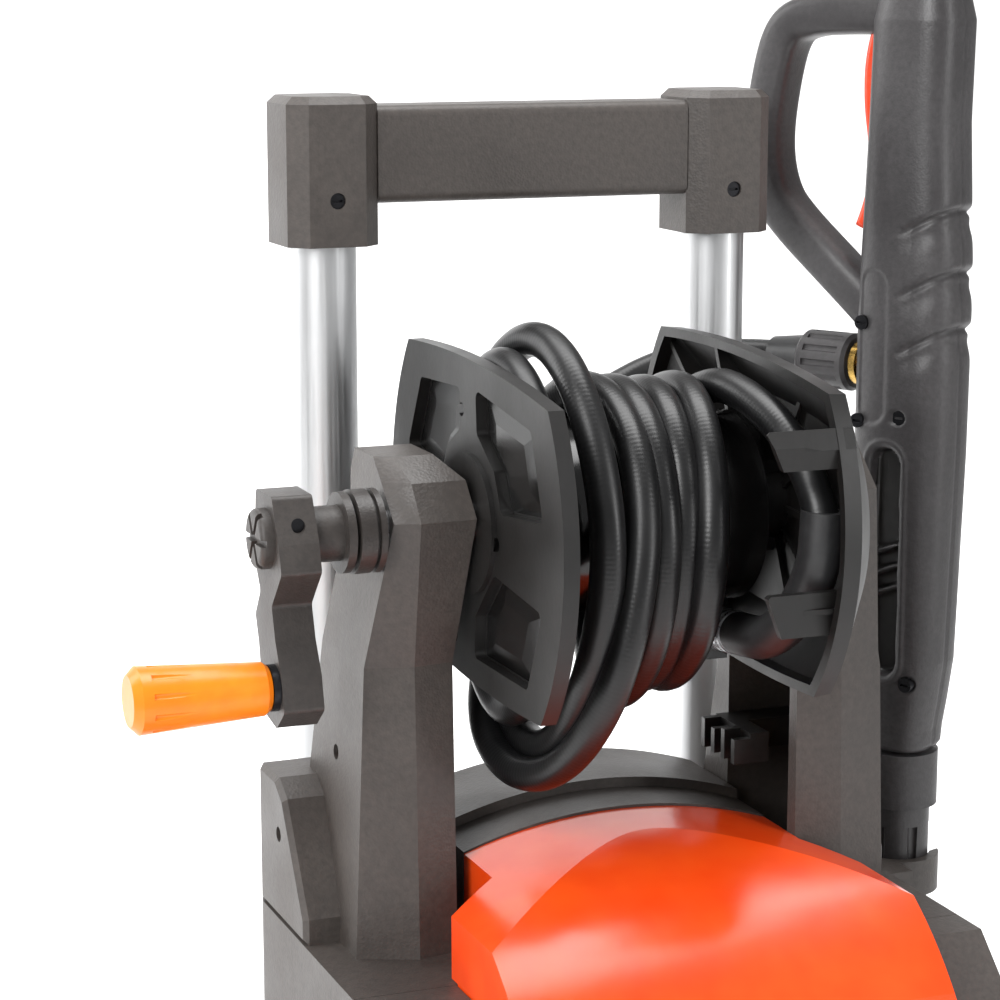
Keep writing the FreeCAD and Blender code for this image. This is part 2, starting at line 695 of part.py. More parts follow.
# ---- reel ---------------------------------------------------------------------------------
def flange_wire(x, inset):
    """Four-cornered flange outline with bowed edges."""
    y = FLANGE_HALF_Y - inset
    z = FLANGE_HALF_Z - inset
    corners = [reel(x, y, z), reel(x, -y, z), reel(x, -y, -z), reel(x, y, -z)]
    bulges = [
        reel(x, 0, z + FLANGE_TOP_BULGE),
        reel(x, -y - FLANGE_SIDE_BULGE, 0),
        reel(x, 0, -z - FLANGE_TOP_BULGE),
        reel(x, y + FLANGE_SIDE_BULGE, 0),
    ]
    edges = []
    for i in range(4):
        edges.append(Part.Arc(corners[i], bulges[i], corners[(i + 1) % 4]).toShape())
    return Part.Wire(edges)


def flange_solid(x0, x1, inset, taper=0.0):
    if taper:
        return Part.makeLoft([flange_wire(x0, inset), flange_wire(x1, inset + taper)], True, True)
    return Part.Face(flange_wire(x0, inset)).extrude(Vector(x1 - x0, 0, 0))


def pocket(points, x0, x1):
    solid = prism([reel(x0, y, z) for y, z in points], Vector(x1 - x0, 0, 0))
    return rounded(solid, 3, along_x)


FLANGE_POCKETS = [
    [(-2, 50), (-56, 46), (-69, 16), (-30, 10), (-22, 24), (-4, 34)],
    [(-24, -14), (-70, -16), (-58, -47), (-6, -50), (-6, -34)],
    [(14, 48), (56, 44), (70, 14), (34, 8), (26, 24), (14, 32)],
    [(30, -12), (70, -16), (58, -47), (12, -50), (12, -34)],
]


def left_flange():
    """Outer flange: a plate with deep pockets moulded between its spokes."""
    x0 = LEFT_FLANGE_X
    x1 = x0 + FLANGE_T
    plate = flange_solid(x0, x1, 0)
    hub = reel_rod(26, x0 - 2, x1)
    whole = fuse([plate, hub])
    for points in FLANGE_POCKETS:
        whole = whole.cut(pocket(points, x0 - 1, x1 - 1.6))
    for y, z in ((12, 40), (-26, -2), (26, 0)):
        whole = whole.cut(reel_rod(2.6, x0 - 1, x0 + 3, y, z))
    whole.rotate(reel(0, 0, 0), X_AXIS, FLANGE_TURN)
    return whole.cut(reel_rod(SHAFT_R + 0.03, x0 - 3, x1 + 1))


def tab(low, high, left):
    """One upright hose tab in front of the lead, rooted in the right flange, with a ridge on it."""
    root = RIGHT_FLANGE_X + RIGHT_FLANGE_DEPTH - 2
    front = REEL_Y - TAB_FRONT
    back = front + TAB_T
    outline = [(root, low), (left, low), (left - 6, high - 1), (left - 5, high), (root, high)]
    plate = prism([Vector(x, front, REEL_Z + z) for x, z in outline], Vector(0, TAB_T, 0))
    middle = REEL_Z + (low + high) / 2
    wedge = [Vector(left + 8, front, middle), Vector(root, front - 3, middle), Vector(root, back, middle)]
    ridge = prism(wedge, Vector(0, 0, 2))
    reach = fuse([flange_solid(0, RIGHT_FLANGE_X + RIGHT_RIM, 0.2), right_cone(0.2)])
    return [shape.common(reach) for shape in (plate, ridge)]


def right_cone(inset):
    """The sloping back of the right flange, filled, as far in as the inset."""
    x0 = RIGHT_FLANGE_X + RIGHT_RIM - 0.1
    return flange_solid(x0, RIGHT_FLANGE_X + RIGHT_FLANGE_DEPTH, 0.5 + inset, RIGHT_CONE_INSET)


def right_flange():
    """Inner side shows: a dish with a rim, ribs, a hub and two hose tabs."""
    x0 = RIGHT_FLANGE_X
    x1 = x0 + RIGHT_FLANGE_DEPTH
    web = x1 - FLANGE_WALL
    rim = x0 + RIGHT_RIM
    cone = RIGHT_CONE_INSET
    dish = fuse([flange_solid(x0, rim, 0, 0.5), flange_solid(rim - 0.1, x1, 0.5, cone)])
    hollow = [flange_solid(x0 - 1, rim - 1, FLANGE_WALL), flange_solid(rim - 1.1, web, FLANGE_WALL, cone)]
    dish = dish.cut(fuse(hollow))
    ribs = []
    for angle in (0, 35, 62, 118, 145, 180, 215, 242, 298, 325):
        rib = box(x0 + 4, x1 - 1, REEL_Y + 12, REEL_Y + 100, REEL_Z - 1.2, REEL_Z + 1.2)
        rib.rotate(reel(0, 0, 0), X_AXIS, angle)
        ribs.append(rib)
    limit = fuse([flange_solid(x0, rim, 1), flange_solid(rim - 0.1, x1 - 1, 1, cone)])
    ribs = [rib.common(limit) for rib in ribs]
    hub = reel_rod(15, x0 + 2, x1 - 1)
    window = box(x0 - 1, x1 - 5.2, REEL_Y - 90, REEL_Y - 8, REEL_Z - 70, REEL_Z + 70)
    ribs = [rib.cut(window) for rib in ribs]
    whole = fuse([dish, hub] + ribs + tab(*UPPER_TAB) + tab(*LOWER_TAB))
    whole.rotate(reel(0, 0, 0), X_AXIS, FLANGE_TURN)
    return whole.cut(reel_rod(SHAFT_R + 0.03, x0 - 1, x1 + 1))


def drum():
    x0 = LEFT_FLANGE_X + FLANGE_T
    body = reel_rod(DRUM_R, x0, DRUM_END_X)
    hollow = reel_rod(DRUM_R - DRUM_WALL, x0 + DRUM_WALL, DRUM_END_X - DRUM_WALL)
    anchor = box(28, DRUM_END_X, REEL_Y - ANCHOR_Y, REEL_Y + 10, REEL_Z - 60, REEL_Z - DRUM_R + 5)
    body = fuse([body, anchor.cut(reel_rod(DRUM_R - 1, x0, DRUM_END_X))])
    return body.cut(hollow).cut(reel_rod(SHAFT_R + 0.03, x0 - 1, DRUM_END_X + 1))


def reel_shaft():
    shaft = reel_rod(SHAFT_R, ARM_IN_X - ARM_T + 3, 90 - GAP)
    return shaft.cut(reel_rod(3, 20, 90))


def hexagon(across, x0, x1, y=0.0, z=0.0):
    radius = across / math.sqrt(3)
    turn = [math.radians(60 * i + 15) for i in range(6)]
    points = [reel(x0, y + radius * math.cos(a), z + radius * math.sin(a)) for a in turn]
    return prism(points, Vector(x1 - x0, 0, 0))


def shaft_nut():
    return hexagon(22, DRUM_END_X, RIGHT_FLANGE_X + 2).cut(reel_rod(SHAFT_R + 0.03, 30, 60))


# ---- hose ---------------------------------------------------------------------------------
# Routes from the middle of the reel's axis.
LEAD_ROUTE = [
    (36, -20, -46),
    (37, -41, -44),
    (40, -59, -31),
    (44, -68, -11),
    (45, -68, 9),
    (42, -51, 32),
    (37, -29, 47),
    (30, 0, 52),
]
TAIL_ROUTE = [
    (-41, 53, -28),
    (-37, 81, -36),
    (-21, 116, -35),
    (2, 149, -25),
    (31, 174, -7),
    (64, 184, 13),
    (98, 181, 29),
]


def on_reel(route):
    return [tuple(reel(*p)) for p in route]


def loop_ring(x0, x1, half_y, half_z, drop, thick):
    """The outer form of a bundle of turns that hangs a little below the drum."""
    centre = reel(x0, 0, -drop)
    shapes = []
    for inset in (0, thick):
        curve = Part.Ellipse(reel(x0, 0, half_z - inset - drop), reel(x0, half_y - inset, -drop), centre)
        shapes.append(Part.Face(Part.Wire(curve.toShape())).extrude(Vector(x1 - x0, 0, 0)))
    return shapes[0].cut(shapes[1])


def hose_wound():
    """The tight turns, as the outer form of their bundle, seated on the drum."""
    top = reel(WOUND_X0, 0, WOUND_HALF_Z - WOUND_DROP)
    curve = Part.Ellipse(top, reel(WOUND_X0, WOUND_HALF_Y, -WOUND_DROP), reel(WOUND_X0, 0, -WOUND_DROP))
    outer = Part.Face(Part.Wire(curve.toShape())).extrude(Vector(WOUND_X1 - WOUND_X0, 0, 0))
    return outer.cut(reel_rod(DRUM_R + 0.2, WOUND_X0 - 1, WOUND_X1 + 1))


def hose_loose():
    return loop_ring(LOOSE_X0, LOOSE_X1, LOOSE_HALF_Y, LOOSE_HALF_Z, LOOSE_DROP, LOOSE_THICK)


def hose_ferrule(wire_start, wire_next):
    """Crimped steel ferrule on the hose end, seated in a boss on the drum."""
    heading = wire_next.sub(wire_start).normalize()
    back = wire_start.sub(Vector(heading).multiply(16))
    body = rod(HOSE_R + 1.3, back, wire_start)
    for i in range(4):
        at = back.add(Vector(heading).multiply(2 + 3.6 * i))
        body = body.fuse(rod(HOSE_R + 1.8, at, at.add(Vector(heading).multiply(1.8))))
    return body.removeSplitter()


# ---- crank --------------------------------------------------------------------------------
ARM_OUTLINE = [
    (13, 16), (-7, 16), (-15, 0), (-18, -10), (-5, -24), (-9, -36), (-16, -48),
    (-19, -60), (-9, -68), (4, -66), (9, -56), (12, -41), (16, -31), (9, -21), (16, -10),
]


def crank_arm():
    x0 = ARM_IN_X - ARM_T
    arm = prism([reel(x0, y, z) for y, z in ARM_OUTLINE], Vector(ARM_T, 0, 0))
    arm = rounded(arm, 2.5, along_x)
    arm = arm.cut(reel_rod(SHAFT_R + 0.03, x0 - 1, ARM_IN_X + 1))
    arm = arm.cut(reel_rod(GRIP_PIN_R, x0 - 1, ARM_IN_X + 1, GRIP_Y, GRIP_Z))
    middle = x0 + ARM_T * 0.55
    return arm.cut(rod(SET_R, reel(middle, -30, 6), reel(middle, 0, 6)))


def set_screw():
    middle = ARM_IN_X - ARM_T + ARM_T * 0.55
    return rod(SET_R, reel(middle, -11, 6), reel(middle, -SHAFT_R + 0.4, 6))


def crank_collar():
    """Two stepped collars and the sleeve between the arm and the stand."""
    stand = -STAND_OUT - 3.2
    wide = reel_rod(15.4, -111, stand)
    groove = reel_ring(16, 13.4, -105, -103.5)
    disc = reel_rod(14.8, -115.5, -112.5)
    neck = reel_rod(10.2, ARM_IN_X, -110)
    whole = fuse([wide.cut(groove), disc, neck])
    return whole.cut(reel_rod(SHAFT_R + 0.03, ARM_IN_X - 1, stand + 2))


def crank_cap():
    x0 = ARM_IN_X - ARM_T
    cap = reel_rod(11, x0 - 5, x0)
    face = min(cap.Edges, key=lambda e: e.CenterOfMass.x)
    cap = cap.makeFillet(2, [face])
    for angle in (0, 60, 120):
        slot = box(x0 - 6, x0 - 3, REEL_Y - 12, REEL_Y + 12, REEL_Z - 1.2, REEL_Z + 1.2)
        slot.rotate(reel(0, 0, 0), X_AXIS, angle)
        cap = cap.cut(slot)
    return cap


def grip_x():
    inner = ARM_IN_X - ARM_T - 3
    return inner, inner - GRIP_LENGTH


def grip_pin():
    inner, outer = grip_x()
    shank = reel_rod(GRIP_PIN_R - 0.03, outer + 5, ARM_IN_X - 1, GRIP_Y, GRIP_Z)
    head = reel_rod(7.5, outer + 2, outer + 5, GRIP_Y, GRIP_Z)
    shoulder = reel_rod(8.5, inner + GAP, ARM_IN_X - ARM_T, GRIP_Y, GRIP_Z)
    return fuse([shank, head, shoulder])


def crank_grip():
    """Tapered handle with rounded ends; it turns on the pin."""
    inner, outer = grip_x()
    profile = [
        Vector(inner, 0, 0), Vector(inner, 0, GRIP_R_IN - 1.5), Vector(inner - 2, 0, GRIP_R_IN),
        Vector(outer + 3, 0, GRIP_R_OUT), Vector(outer, 0, GRIP_R_OUT - 3), Vector(outer, 0, 0),
    ]
    wire = Part.makePolygon(profile + [profile[0]])
    solid = Part.Face(wire).revolve(Vector(0, 0, 0), X_AXIS, 360)
    solid.translate(reel(0, GRIP_Y, GRIP_Z))
    for i in range(10):
        groove = reel_rod(1.2, inner - 6, outer + 7, GRIP_Y, GRIP_Z + GRIP_R_OUT + 0.1)
        groove.rotate(reel(0, GRIP_Y, GRIP_Z), X_AXIS, 36 * i)
        solid = solid.cut(groove)
    solid = solid.cut(reel_rod(GRIP_PIN_R + RUNNING - 0.03, outer + 4, inner + 1, GRIP_Y, GRIP_Z))
    return solid.cut(reel_rod(7.5 + GAP, outer + 2 - GAP, outer + 5 + GAP, GRIP_Y, GRIP_Z))


# ---- handle -------------------------------------------------------------------------------
def handle_tube(side):
    x = side * TUBE_X
    top = BLOCK_TOP - 12
    low = TUBE_BOTTOM + GAP
    return ring(TUBE_R, TUBE_R - TUBE_WALL, Vector(x, TUBE_Y, low), Vector(x, TUBE_Y, top))


def corner_block(side):
    """Faceted corner block: its four upright corners are chamfered."""
    block = box(-BLOCK_HALF_X, BLOCK_HALF_X, -BLOCK_HALF_Y, BLOCK_HALF_Y, BLOCK_BOTTOM, BLOCK_TOP)
    block = block.makeChamfer(7, [e for e in block.Edges if vertical(e)])
    rim = [e for e in block.Edges if e.CenterOfMass.z > BLOCK_TOP - 1]
    block = block.makeChamfer(3, rim)
    block.translate(Vector(side * TUBE_X, TUBE_Y, 0))
    x = side * TUBE_X
    top = Vector(x, TUBE_Y, BLOCK_TOP - 12)
    block = block.cut(rod(TUBE_R + 0.05, Vector(x, TUBE_Y, BLOCK_BOTTOM - 1), top))
    screw_z = BLOCK_BOTTOM + 18
    front = TUBE_Y - BLOCK_HALF_Y
    return block.cut(rod(3.2, Vector(x, front - 1, screw_z), Vector(x, TUBE_Y - TUBE_R - 0.4, screw_z)))


def corner_screws():
    screws = []
    for side in (-1, 1):
        x = side * TUBE_X
        z = BLOCK_BOTTOM + 18
        front = TUBE_Y - BLOCK_HALF_Y
        screw = rod(3.1, Vector(x, front + 1, z), Vector(x, TUBE_Y - TUBE_R - 0.5, z))
        screw = screw.cut(box(x - 2, x + 2, front, front + 2, z - 0.5, z + 0.5))
        screws.append(screw)
    return screws


def crossbar():
    x = TUBE_X - BLOCK_HALF_X
    bar = box(-x, x, TUBE_Y - 14, TUBE_Y + 14, BLOCK_BOTTOM + 16, BLOCK_TOP - 4)
    return bar.makeFillet(4, [e for e in bar.Edges if along_x(e)])


# ---- gun ----------------------------------------------------------------------------------
# The gun is drawn with its spine at -X and its trigger side at +X, then turned about Z.
def gun_place(shape):
    shape.rotate(Vector(0, 0, 0), Z_AXIS, GUN_TURN)
    shape.translate(Vector(GUN_X, GUN_Y, 0))
    return shape


GUN_OUTLINE = [
    (-17, GUN_BOTTOM), (17, GUN_BOTTOM), (20, 470), (20, 560), (21, 612), (26, 630),
    (78, 672), (84, 690), (78, 742), (66, GUN_TOP), (-20, GUN_TOP), (-24, 738), (-21, 690),
    (-25, 640), (-25, 560), (-22, 470),
]
GUARD_HOLE = [(22, 650), (64, 684), (68, 696), (63, 732), (56, 740), (16, 740), (19, 700), (16, 664)]
GUN_HOLLOW = [(-12, 470), (12, 470), (14, 600), (12, 640), (12, 735), (-14, 735), (-18, 640), (-18, 560)]


def xz_prism(points, y0, y1):
    return prism([Vector(x, y0, z) for x, z in points], Vector(0, y1 - y0, 0))


def gun_shell(side):
    """One half of the gun's casing; side +1 faces the front left."""
    y0, y1 = (0, GUN_HALF_T) if side > 0 else (-GUN_HALF_T, 0)
    half = xz_prism(GUN_OUTLINE, y0, y1)
    outer_y = side * GUN_HALF_T
    edges = [e for e in half.Edges if abs(e.CenterOfMass.y - outer_y) < 0.01]
    half = half.makeChamfer(5, edges)
    guard = [(24, 644), (90, 640), (90, 770), (12, 770), (14, 744), (20, 742), (25, 700), (22, 660)]
    slim = 11.0
    trim = xz_prism(guard, slim, 40) if side > 0 else xz_prism(guard, -40, -slim)
    half = half.cut(trim)
    half = half.cut(xz_prism(GUARD_HOLE, -50, 50))
    hollow = (-1, GUN_HALF_T - 3) if side > 0 else (-GUN_HALF_T + 3, 1)
    half = half.cut(xz_prism(GUN_HOLLOW, *hollow))
    # slot for the trigger, bore for the inlet fitting, bore for the lance
    half = half.cut(box(0, 40, -TRIGGER_HALF_T - 0.4, TRIGGER_HALF_T + 0.4, 655, 728))
    half = half.cut(rod(INLET_BORE, Vector(0, 0, INLET_Z), Vector(30, 0, INLET_Z)))
    half = half.cut(rod(LANCE_R + 0.05, Vector(0, 0, GUN_BOTTOM - 1), Vector(0, 0, 480)))
    half = half.cut(rod(TRIGGER_PIN_R + 0.05, Vector(4, -15, 722), Vector(4, 15, 722)))
    # grip grooves on the spine
    for z in (640, 676, 712):
        ring_cut = Part.makeTorus(34, 3, Vector(8, 0, z), Vector(0.25, 0, 1))
        half = half.cut(ring_cut)
    if side > 0:
        half = half.cut(oval_pad(-9, 590, 13, 78))
        half = half.cut(oval_pad(-4, 505, 10, 105))
        for x, z in SCREW_PLACES:
            half = half.cut(rod(3.2, Vector(x, GUN_HALF_T - 4, z), Vector(x, GUN_HALF_T + 1, z)))
    return gun_place(half)


SCREW_PLACES = [(14, 616), (15, 574), (-5.5, 577), (-12, 462)]


def oval_pad(x, z, half_x, half_z):
    """A shallow sunk oval on the visible side of the gun."""
    straight = half_z / 2 - half_x
    depth = GUN_HALF_T - 0.8
    bar = box(x - half_x, x + half_x, depth, GUN_HALF_T + 1, z - straight, z + straight)
    parts = [bar]
    for end in (-straight, straight):
        parts.append(rod(half_x, Vector(x, depth, z + end), Vector(x, GUN_HALF_T + 1, z + end)))
    return fuse(parts)


def gun_screws():
    screws = []
    for x, z in SCREW_PLACES:
        screw = rod(3.1, Vector(x, GUN_HALF_T - 4, z), Vector(x, GUN_HALF_T - 1.2, z))
        screw = screw.cut(box(x - 2, x + 2, GUN_HALF_T - 2.2, GUN_HALF_T, z - 0.5, z + 0.5))
        screws.append(gun_place(screw))
    return screws


def gun_trigger():
    """Curved lever on its pivot pin near the top of the slot."""
    outline = [(0, 728), (10, 728), (22, 722), (29, 700), (28, 682), (36, 664), (28, 660), (20, 680), (8, 712), (0, 715)]
    lever = xz_prism(outline, -TRIGGER_HALF_T, TRIGGER_HALF_T)
    lever = lever.common(box(-1, 60, -10, 10, 655, 727))
    lever = lever.cut(rod(TRIGGER_PIN_R + RUNNING, Vector(4, -15, 722), Vector(4, 15, 722)))
    return gun_place(lever)


def trigger_pin():
    return gun_place(rod(TRIGGER_PIN_R, Vector(4, -14, 722), Vector(4, 14, 722)))


def gun_valve():
    body = rod(9, Vector(0, 0, 560), Vector(0, 0, 636))
    core = rod(INLET_BORE - 0.3, Vector(0, 0, INLET_Z), Vector(11.5, 0, INLET_Z))
    stem = rod(3, Vector(0, 0, 636), Vector(0, 0, 650))
    pipe = rod(LANCE_R - 0.5, Vector(0, 0, 480.5), Vector(0, 0, 561))
    return gun_place(fuse([body, core, stem, pipe]))


def gun_inlet():
    """Brass nipple that the hose nut screws onto."""
    body = rod(INLET_BORE - 0.05, Vector(12, 0, INLET_Z), Vector(NUT_END - 8, 0, INLET_Z))
    collar = rod(9.5, Vector(NUT_START - 4, 0, INLET_Z), Vector(NUT_START - 1, 0, INLET_Z))
    return gun_place(fuse([body, collar]))


def hose_nut():
    nut = rod(12.5, Vector(NUT_START, 0, INLET_Z), Vector(NUT_END, 0, INLET_Z))
    ends = [e for e in nut.Edges if e.Length > 70]
    nut = nut.makeChamfer(1.5, [e for e in ends if len(e.Vertexes) == 1])
    for i in range(12):
        groove = rod(1.6, Vector(NUT_START + 4, 0, INLET_Z + 13), Vector(NUT_END - 4, 0, INLET_Z + 13))
        groove.rotate(Vector(0, 0, INLET_Z), X_AXIS, 30 * i)
        nut = nut.cut(groove)
    return gun_place(nut.cut(rod(INLET_BORE, Vector(NUT_START - 1, 0, INLET_Z), Vector(NUT_END - 7.8, 0, INLET_Z))))


def hose_guard(end, before):
    """Tapered bend guard on the hose where it leaves the nut."""
    along = before.sub(end).normalize()
    cone = Part.makeCone(10, 8, 17, end, along)
    return cone.cut(rod(HOSE_R + 0.12, end, end.add(Vector(along).multiply(18))))


def lance_sleeve():
    """Insulating sleeve with a collar on top; its lower shoulder rests on the holder ring."""
    low = SLEEVE_BOTTOM
    high = GUN_BOTTOM - 24
    collar = Part.makeCone(17, 15, 22, Vector(0, 0, high), Z_AXIS)
    collar = collar.fuse(rod(17, Vector(0, 0, high + 2), Vector(0, 0, GUN_BOTTOM)))
    body = rod(SLEEVE_R, Vector(0, 0, low), Vector(0, 0, high))
    for i in range(6):
        flute = Part.makeCone(1.0, 2.6, 80, Vector(SLEEVE_R + 0.6, 0, low + 16), Z_AXIS)
        flute.rotate(Vector(0, 0, 0), Z_AXIS, 60 * i + 30)
        body = body.cut(flute)
    body = fuse([body, collar])
    return gun_place(body.cut(rod(LANCE_R + 0.05, Vector(0, 0, low - 1), Vector(0, 0, GUN_BOTTOM + 1))))


def lance_tube():
    pipe = ring(LANCE_R, LANCE_R - 3, Vector(0, 0, NOZZLE_BOTTOM + 44), Vector(0, 0, 480))
    return gun_place(pipe)


def nozzle():
    low = NOZZLE_BOTTOM
    body = Part.makeCone(8.5, 11, 40, Vector(0, 0, low), Z_AXIS)
    cap = rod(11, Vector(0, 0, low + 40), Vector(0, 0, low + 62))
    whole = fuse([body, cap])
    for i in range(10):
        groove = rod(1.2, Vector(11.6, 0, low + 40), Vector(11.6, 0, low + 60))
        groove.rotate(Vector(0, 0, 0), Z_AXIS, 36 * i)
        whole = whole.cut(groove)
    whole = whole.cut(rod(LANCE_R + 0.05, Vector(0, 0, low + 44), Vector(0, 0, low + 63)))
    return gun_place(whole.cut(rod(2, Vector(0, 0, low - 1), Vector(0, 0, low + 45))))


def lance_ring():
    """Bracket on the housing's right side whose ring carries the lance sleeve."""
    z0 = SLEEVE_BOTTOM - 14
    outer = rod(20, Vector(GUN_X, GUN_Y, z0), Vector(GUN_X, GUN_Y, z0 + 14))
    arm = box(BODY_HALF_X, GUN_X, 30, GUN_Y - 4, z0, z0 + 14)
    plate = box(BODY_HALF_X, BODY_HALF_X + 4, 22, 62, z0 - 14, z0 + 28)
    whole = fuse([outer, arm, plate])
    return whole.cut(rod(SLEEVE_R - 1, Vector(GUN_X, GUN_Y, z0 - 1), Vector(GUN_X, GUN_Y, z0 + 15)))


def gun_clip():
    """Upper spring clip, open towards the front right."""
    z0 = 366.0
    outer = rod(SLEEVE_R + 4.5, Vector(GUN_X, GUN_Y, z0), Vector(GUN_X, GUN_Y, z0 + 16))
    arm = box(BODY_HALF_X, GUN_X - 8, 40, GUN_Y - 6, z0, z0 + 16)
    whole = fuse([outer, arm, box(BODY_HALF_X, BODY_HALF_X + 4, 30, 62, z0 - 8, z0 + 22)])
    whole = whole.cut(rod(SLEEVE_R + GAP, Vector(GUN_X, GUN_Y, z0 - 1), Vector(GUN_X, GUN_Y, z0 + 17)))
    mouth = box(0, 40, -11, 11, z0 - 1, z0 + 17)
    mouth.rotate(Vector(0, 0, 0), Z_AXIS, 20)
    mouth.translate(Vector(GUN_X, GUN_Y, 0))
    return whole.cut(mouth)


# ---- build --------------------------------------------------------------------------------
def main():
    save("chassis", chassis())
    save("front_feet", *front_feet())
    save("axle", axle())
    save("right_tyre", tyre())
    save("left_tyre", mirrored(tyre()))
    save("right_wheel_rim", wheel_rim())
    save("left_wheel_rim", mirrored(wheel_rim()))

    save("rear_housing", rear_housing())
    save("tube_collars", *tube_collars())
    save("cable_gland", cable_gland())
    save("water_inlet", water_inlet())
    save("top_shroud", top_shroud())
    save("front_cover", front_cover())
    save("switch_bezel", switch_bezel())
    save("switch_knob", switch_knob())
    save("power_switch", power_switch())
    save("side_panels", side_panel(), mirrored(side_panel()))

    save("motor_housing", motor_housing())
    save("stator", stator())
    save("motor_rotor", motor_rotor())
    save("cooling_fan", cooling_fan())
    save("pump_block", pump_block())
    save("pump_head", pump_head())
    save("feed_pipe", feed_pipe())

    save("left_stand", left_stand())
    save("right_stand", right_stand())
    save("swivel_block", swivel_block())
    save("accessory_clip", accessory_clip())

    save("left_flange", left_flange())
    save("right_flange", right_flange())
    save("drum", drum())
    save("reel_shaft", reel_shaft())
    save("reel_fasteners", shaft_nut(), set_screw())

    lead = on_reel(LEAD_ROUTE)
    hose, wire, radii = tube(lead, HOSE_R)
    print("lead radii", radii, "volume ratio", round(hose.Volume / (math.pi * HOSE_R ** 2 * wire.Length), 4))
    save("hose_lead", hose.cut(hose_wound()))
    sleeve, wire, radii = tube(lead[:LEAD_SLEEVE], HOSE_R + 1.6)
    save("hose_sleeve", sleeve.cut(tube(lead, HOSE_R + 0.02)[0]))
    save("hose_ferrule", hose_ferrule(Vector(*lead[0]), Vector(*lead[1])))
    save("hose_wound", hose_wound())
    save("hose_loose", hose_loose())
    outlet = [gun_place(Part.Vertex(Vector(x, 0, INLET_Z))).Point for x in (NUT_END + 32, NUT_END)]
    tail = on_reel(TAIL_ROUTE) + [tuple(point) for point in outlet]
    hose, wire, radii = tube(tail, HOSE_R)
    print("tail radii", radii, "volume ratio", round(hose.Volume / (math.pi * HOSE_R ** 2 * wire.Length), 4))
    print("tail length", round(wire.Length, 1))
    save("hose_tail", hose)
    save("hose_guard", hose_guard(Vector(*tail[-1]), Vector(*tail[-2])))

    save("crank_arm", crank_arm())
    save("crank_collar", crank_collar())
    save("crank_cap", crank_cap())
    save("grip_pin", grip_pin())
    save("crank_grip", crank_grip())

    save("handle_tubes", handle_tube(-1), handle_tube(1))
    save("corner_blocks", corner_block(-1), corner_block(1))
    save("corner_screws", *corner_screws())
    save("crossbar", crossbar())

    save("gun_shell_left", gun_shell(1))
    save("gun_shell_right", gun_shell(-1))
    save("gun_fasteners", *gun_screws(), trigger_pin())
    save("gun_trigger", gun_trigger())
    save("gun_valve", gun_valve())
    save("gun_inlet", gun_inlet())
    save("hose_nut", hose_nut())
    save("lance_sleeve", lance_sleeve())
    save("lance_tube", lance_tube())
    save("nozzle", nozzle())
    save("gun_holders", lance_ring(), gun_clip())


main()
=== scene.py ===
import math

import bpy
import numpy as np
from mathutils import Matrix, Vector


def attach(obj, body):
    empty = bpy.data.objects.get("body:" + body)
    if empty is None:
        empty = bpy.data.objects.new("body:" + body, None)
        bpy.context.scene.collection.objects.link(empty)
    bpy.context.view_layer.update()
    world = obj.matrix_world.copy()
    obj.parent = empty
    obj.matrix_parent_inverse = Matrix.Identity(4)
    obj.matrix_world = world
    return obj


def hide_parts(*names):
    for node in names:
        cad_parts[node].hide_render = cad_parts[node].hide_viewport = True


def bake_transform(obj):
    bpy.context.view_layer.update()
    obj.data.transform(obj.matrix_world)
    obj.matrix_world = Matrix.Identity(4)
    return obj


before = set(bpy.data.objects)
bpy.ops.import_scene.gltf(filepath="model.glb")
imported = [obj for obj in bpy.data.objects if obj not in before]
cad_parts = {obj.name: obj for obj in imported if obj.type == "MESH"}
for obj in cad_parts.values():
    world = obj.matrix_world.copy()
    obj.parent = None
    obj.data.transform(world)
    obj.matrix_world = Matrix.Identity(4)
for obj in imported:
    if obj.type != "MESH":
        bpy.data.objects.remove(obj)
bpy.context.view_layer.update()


# ---- chassis tray, deck and covers of the body --------------------------------------------
# The lower body, the deck and both reel stands are injection-moulded ABS, dark grey with a
# fine spark-eroded grain, screwed together from inside. The grain breaks the highlights up.


def linear(code):
    """sRGB hex to linear: c / 12.92 up to 0.04045, above that ((c + 0.055) / 1.055) to the power 2.4."""
    parts = np.array([int(code[i : i + 2], 16) for i in (1, 3, 5)]) / 255
    return (*np.where(parts <= 0.04045, parts / 12.92, ((parts + 0.055) / 1.055) ** 2.4), 1.0)


def add_node(tree, kind, inputs, **settings):
    """Adds one shader node; each input takes a value, or a link from another node's output."""
    made = tree.nodes.new("ShaderNode" + kind)
    for name, value in settings.items():
        setattr(made, name, value)
    for socket, value in inputs.items():
        if isinstance(value, bpy.types.NodeSocket):
            tree.links.new(value, made.inputs[socket])
        else:
            made.inputs[socket].default_value = value
    return made


def new_finish(name, values):
    """A material with constant surface values: gives back its tree, its shader and the object's place."""
    material = bpy.data.materials.new(name)
    material.use_nodes = True
    tree = material.node_tree
    shader = tree.nodes["Principled BSDF"]
    for socket, value in values.items():
        shader.inputs[socket].default_value = value
    return material, tree, shader, add_node(tree, "TexCoord", {}).outputs["Object"]


def dress(material, *names):
    """Every slot of these carried-over parts takes the material."""
    for name in names:
        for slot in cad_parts[name].material_slots:
            slot.material = material


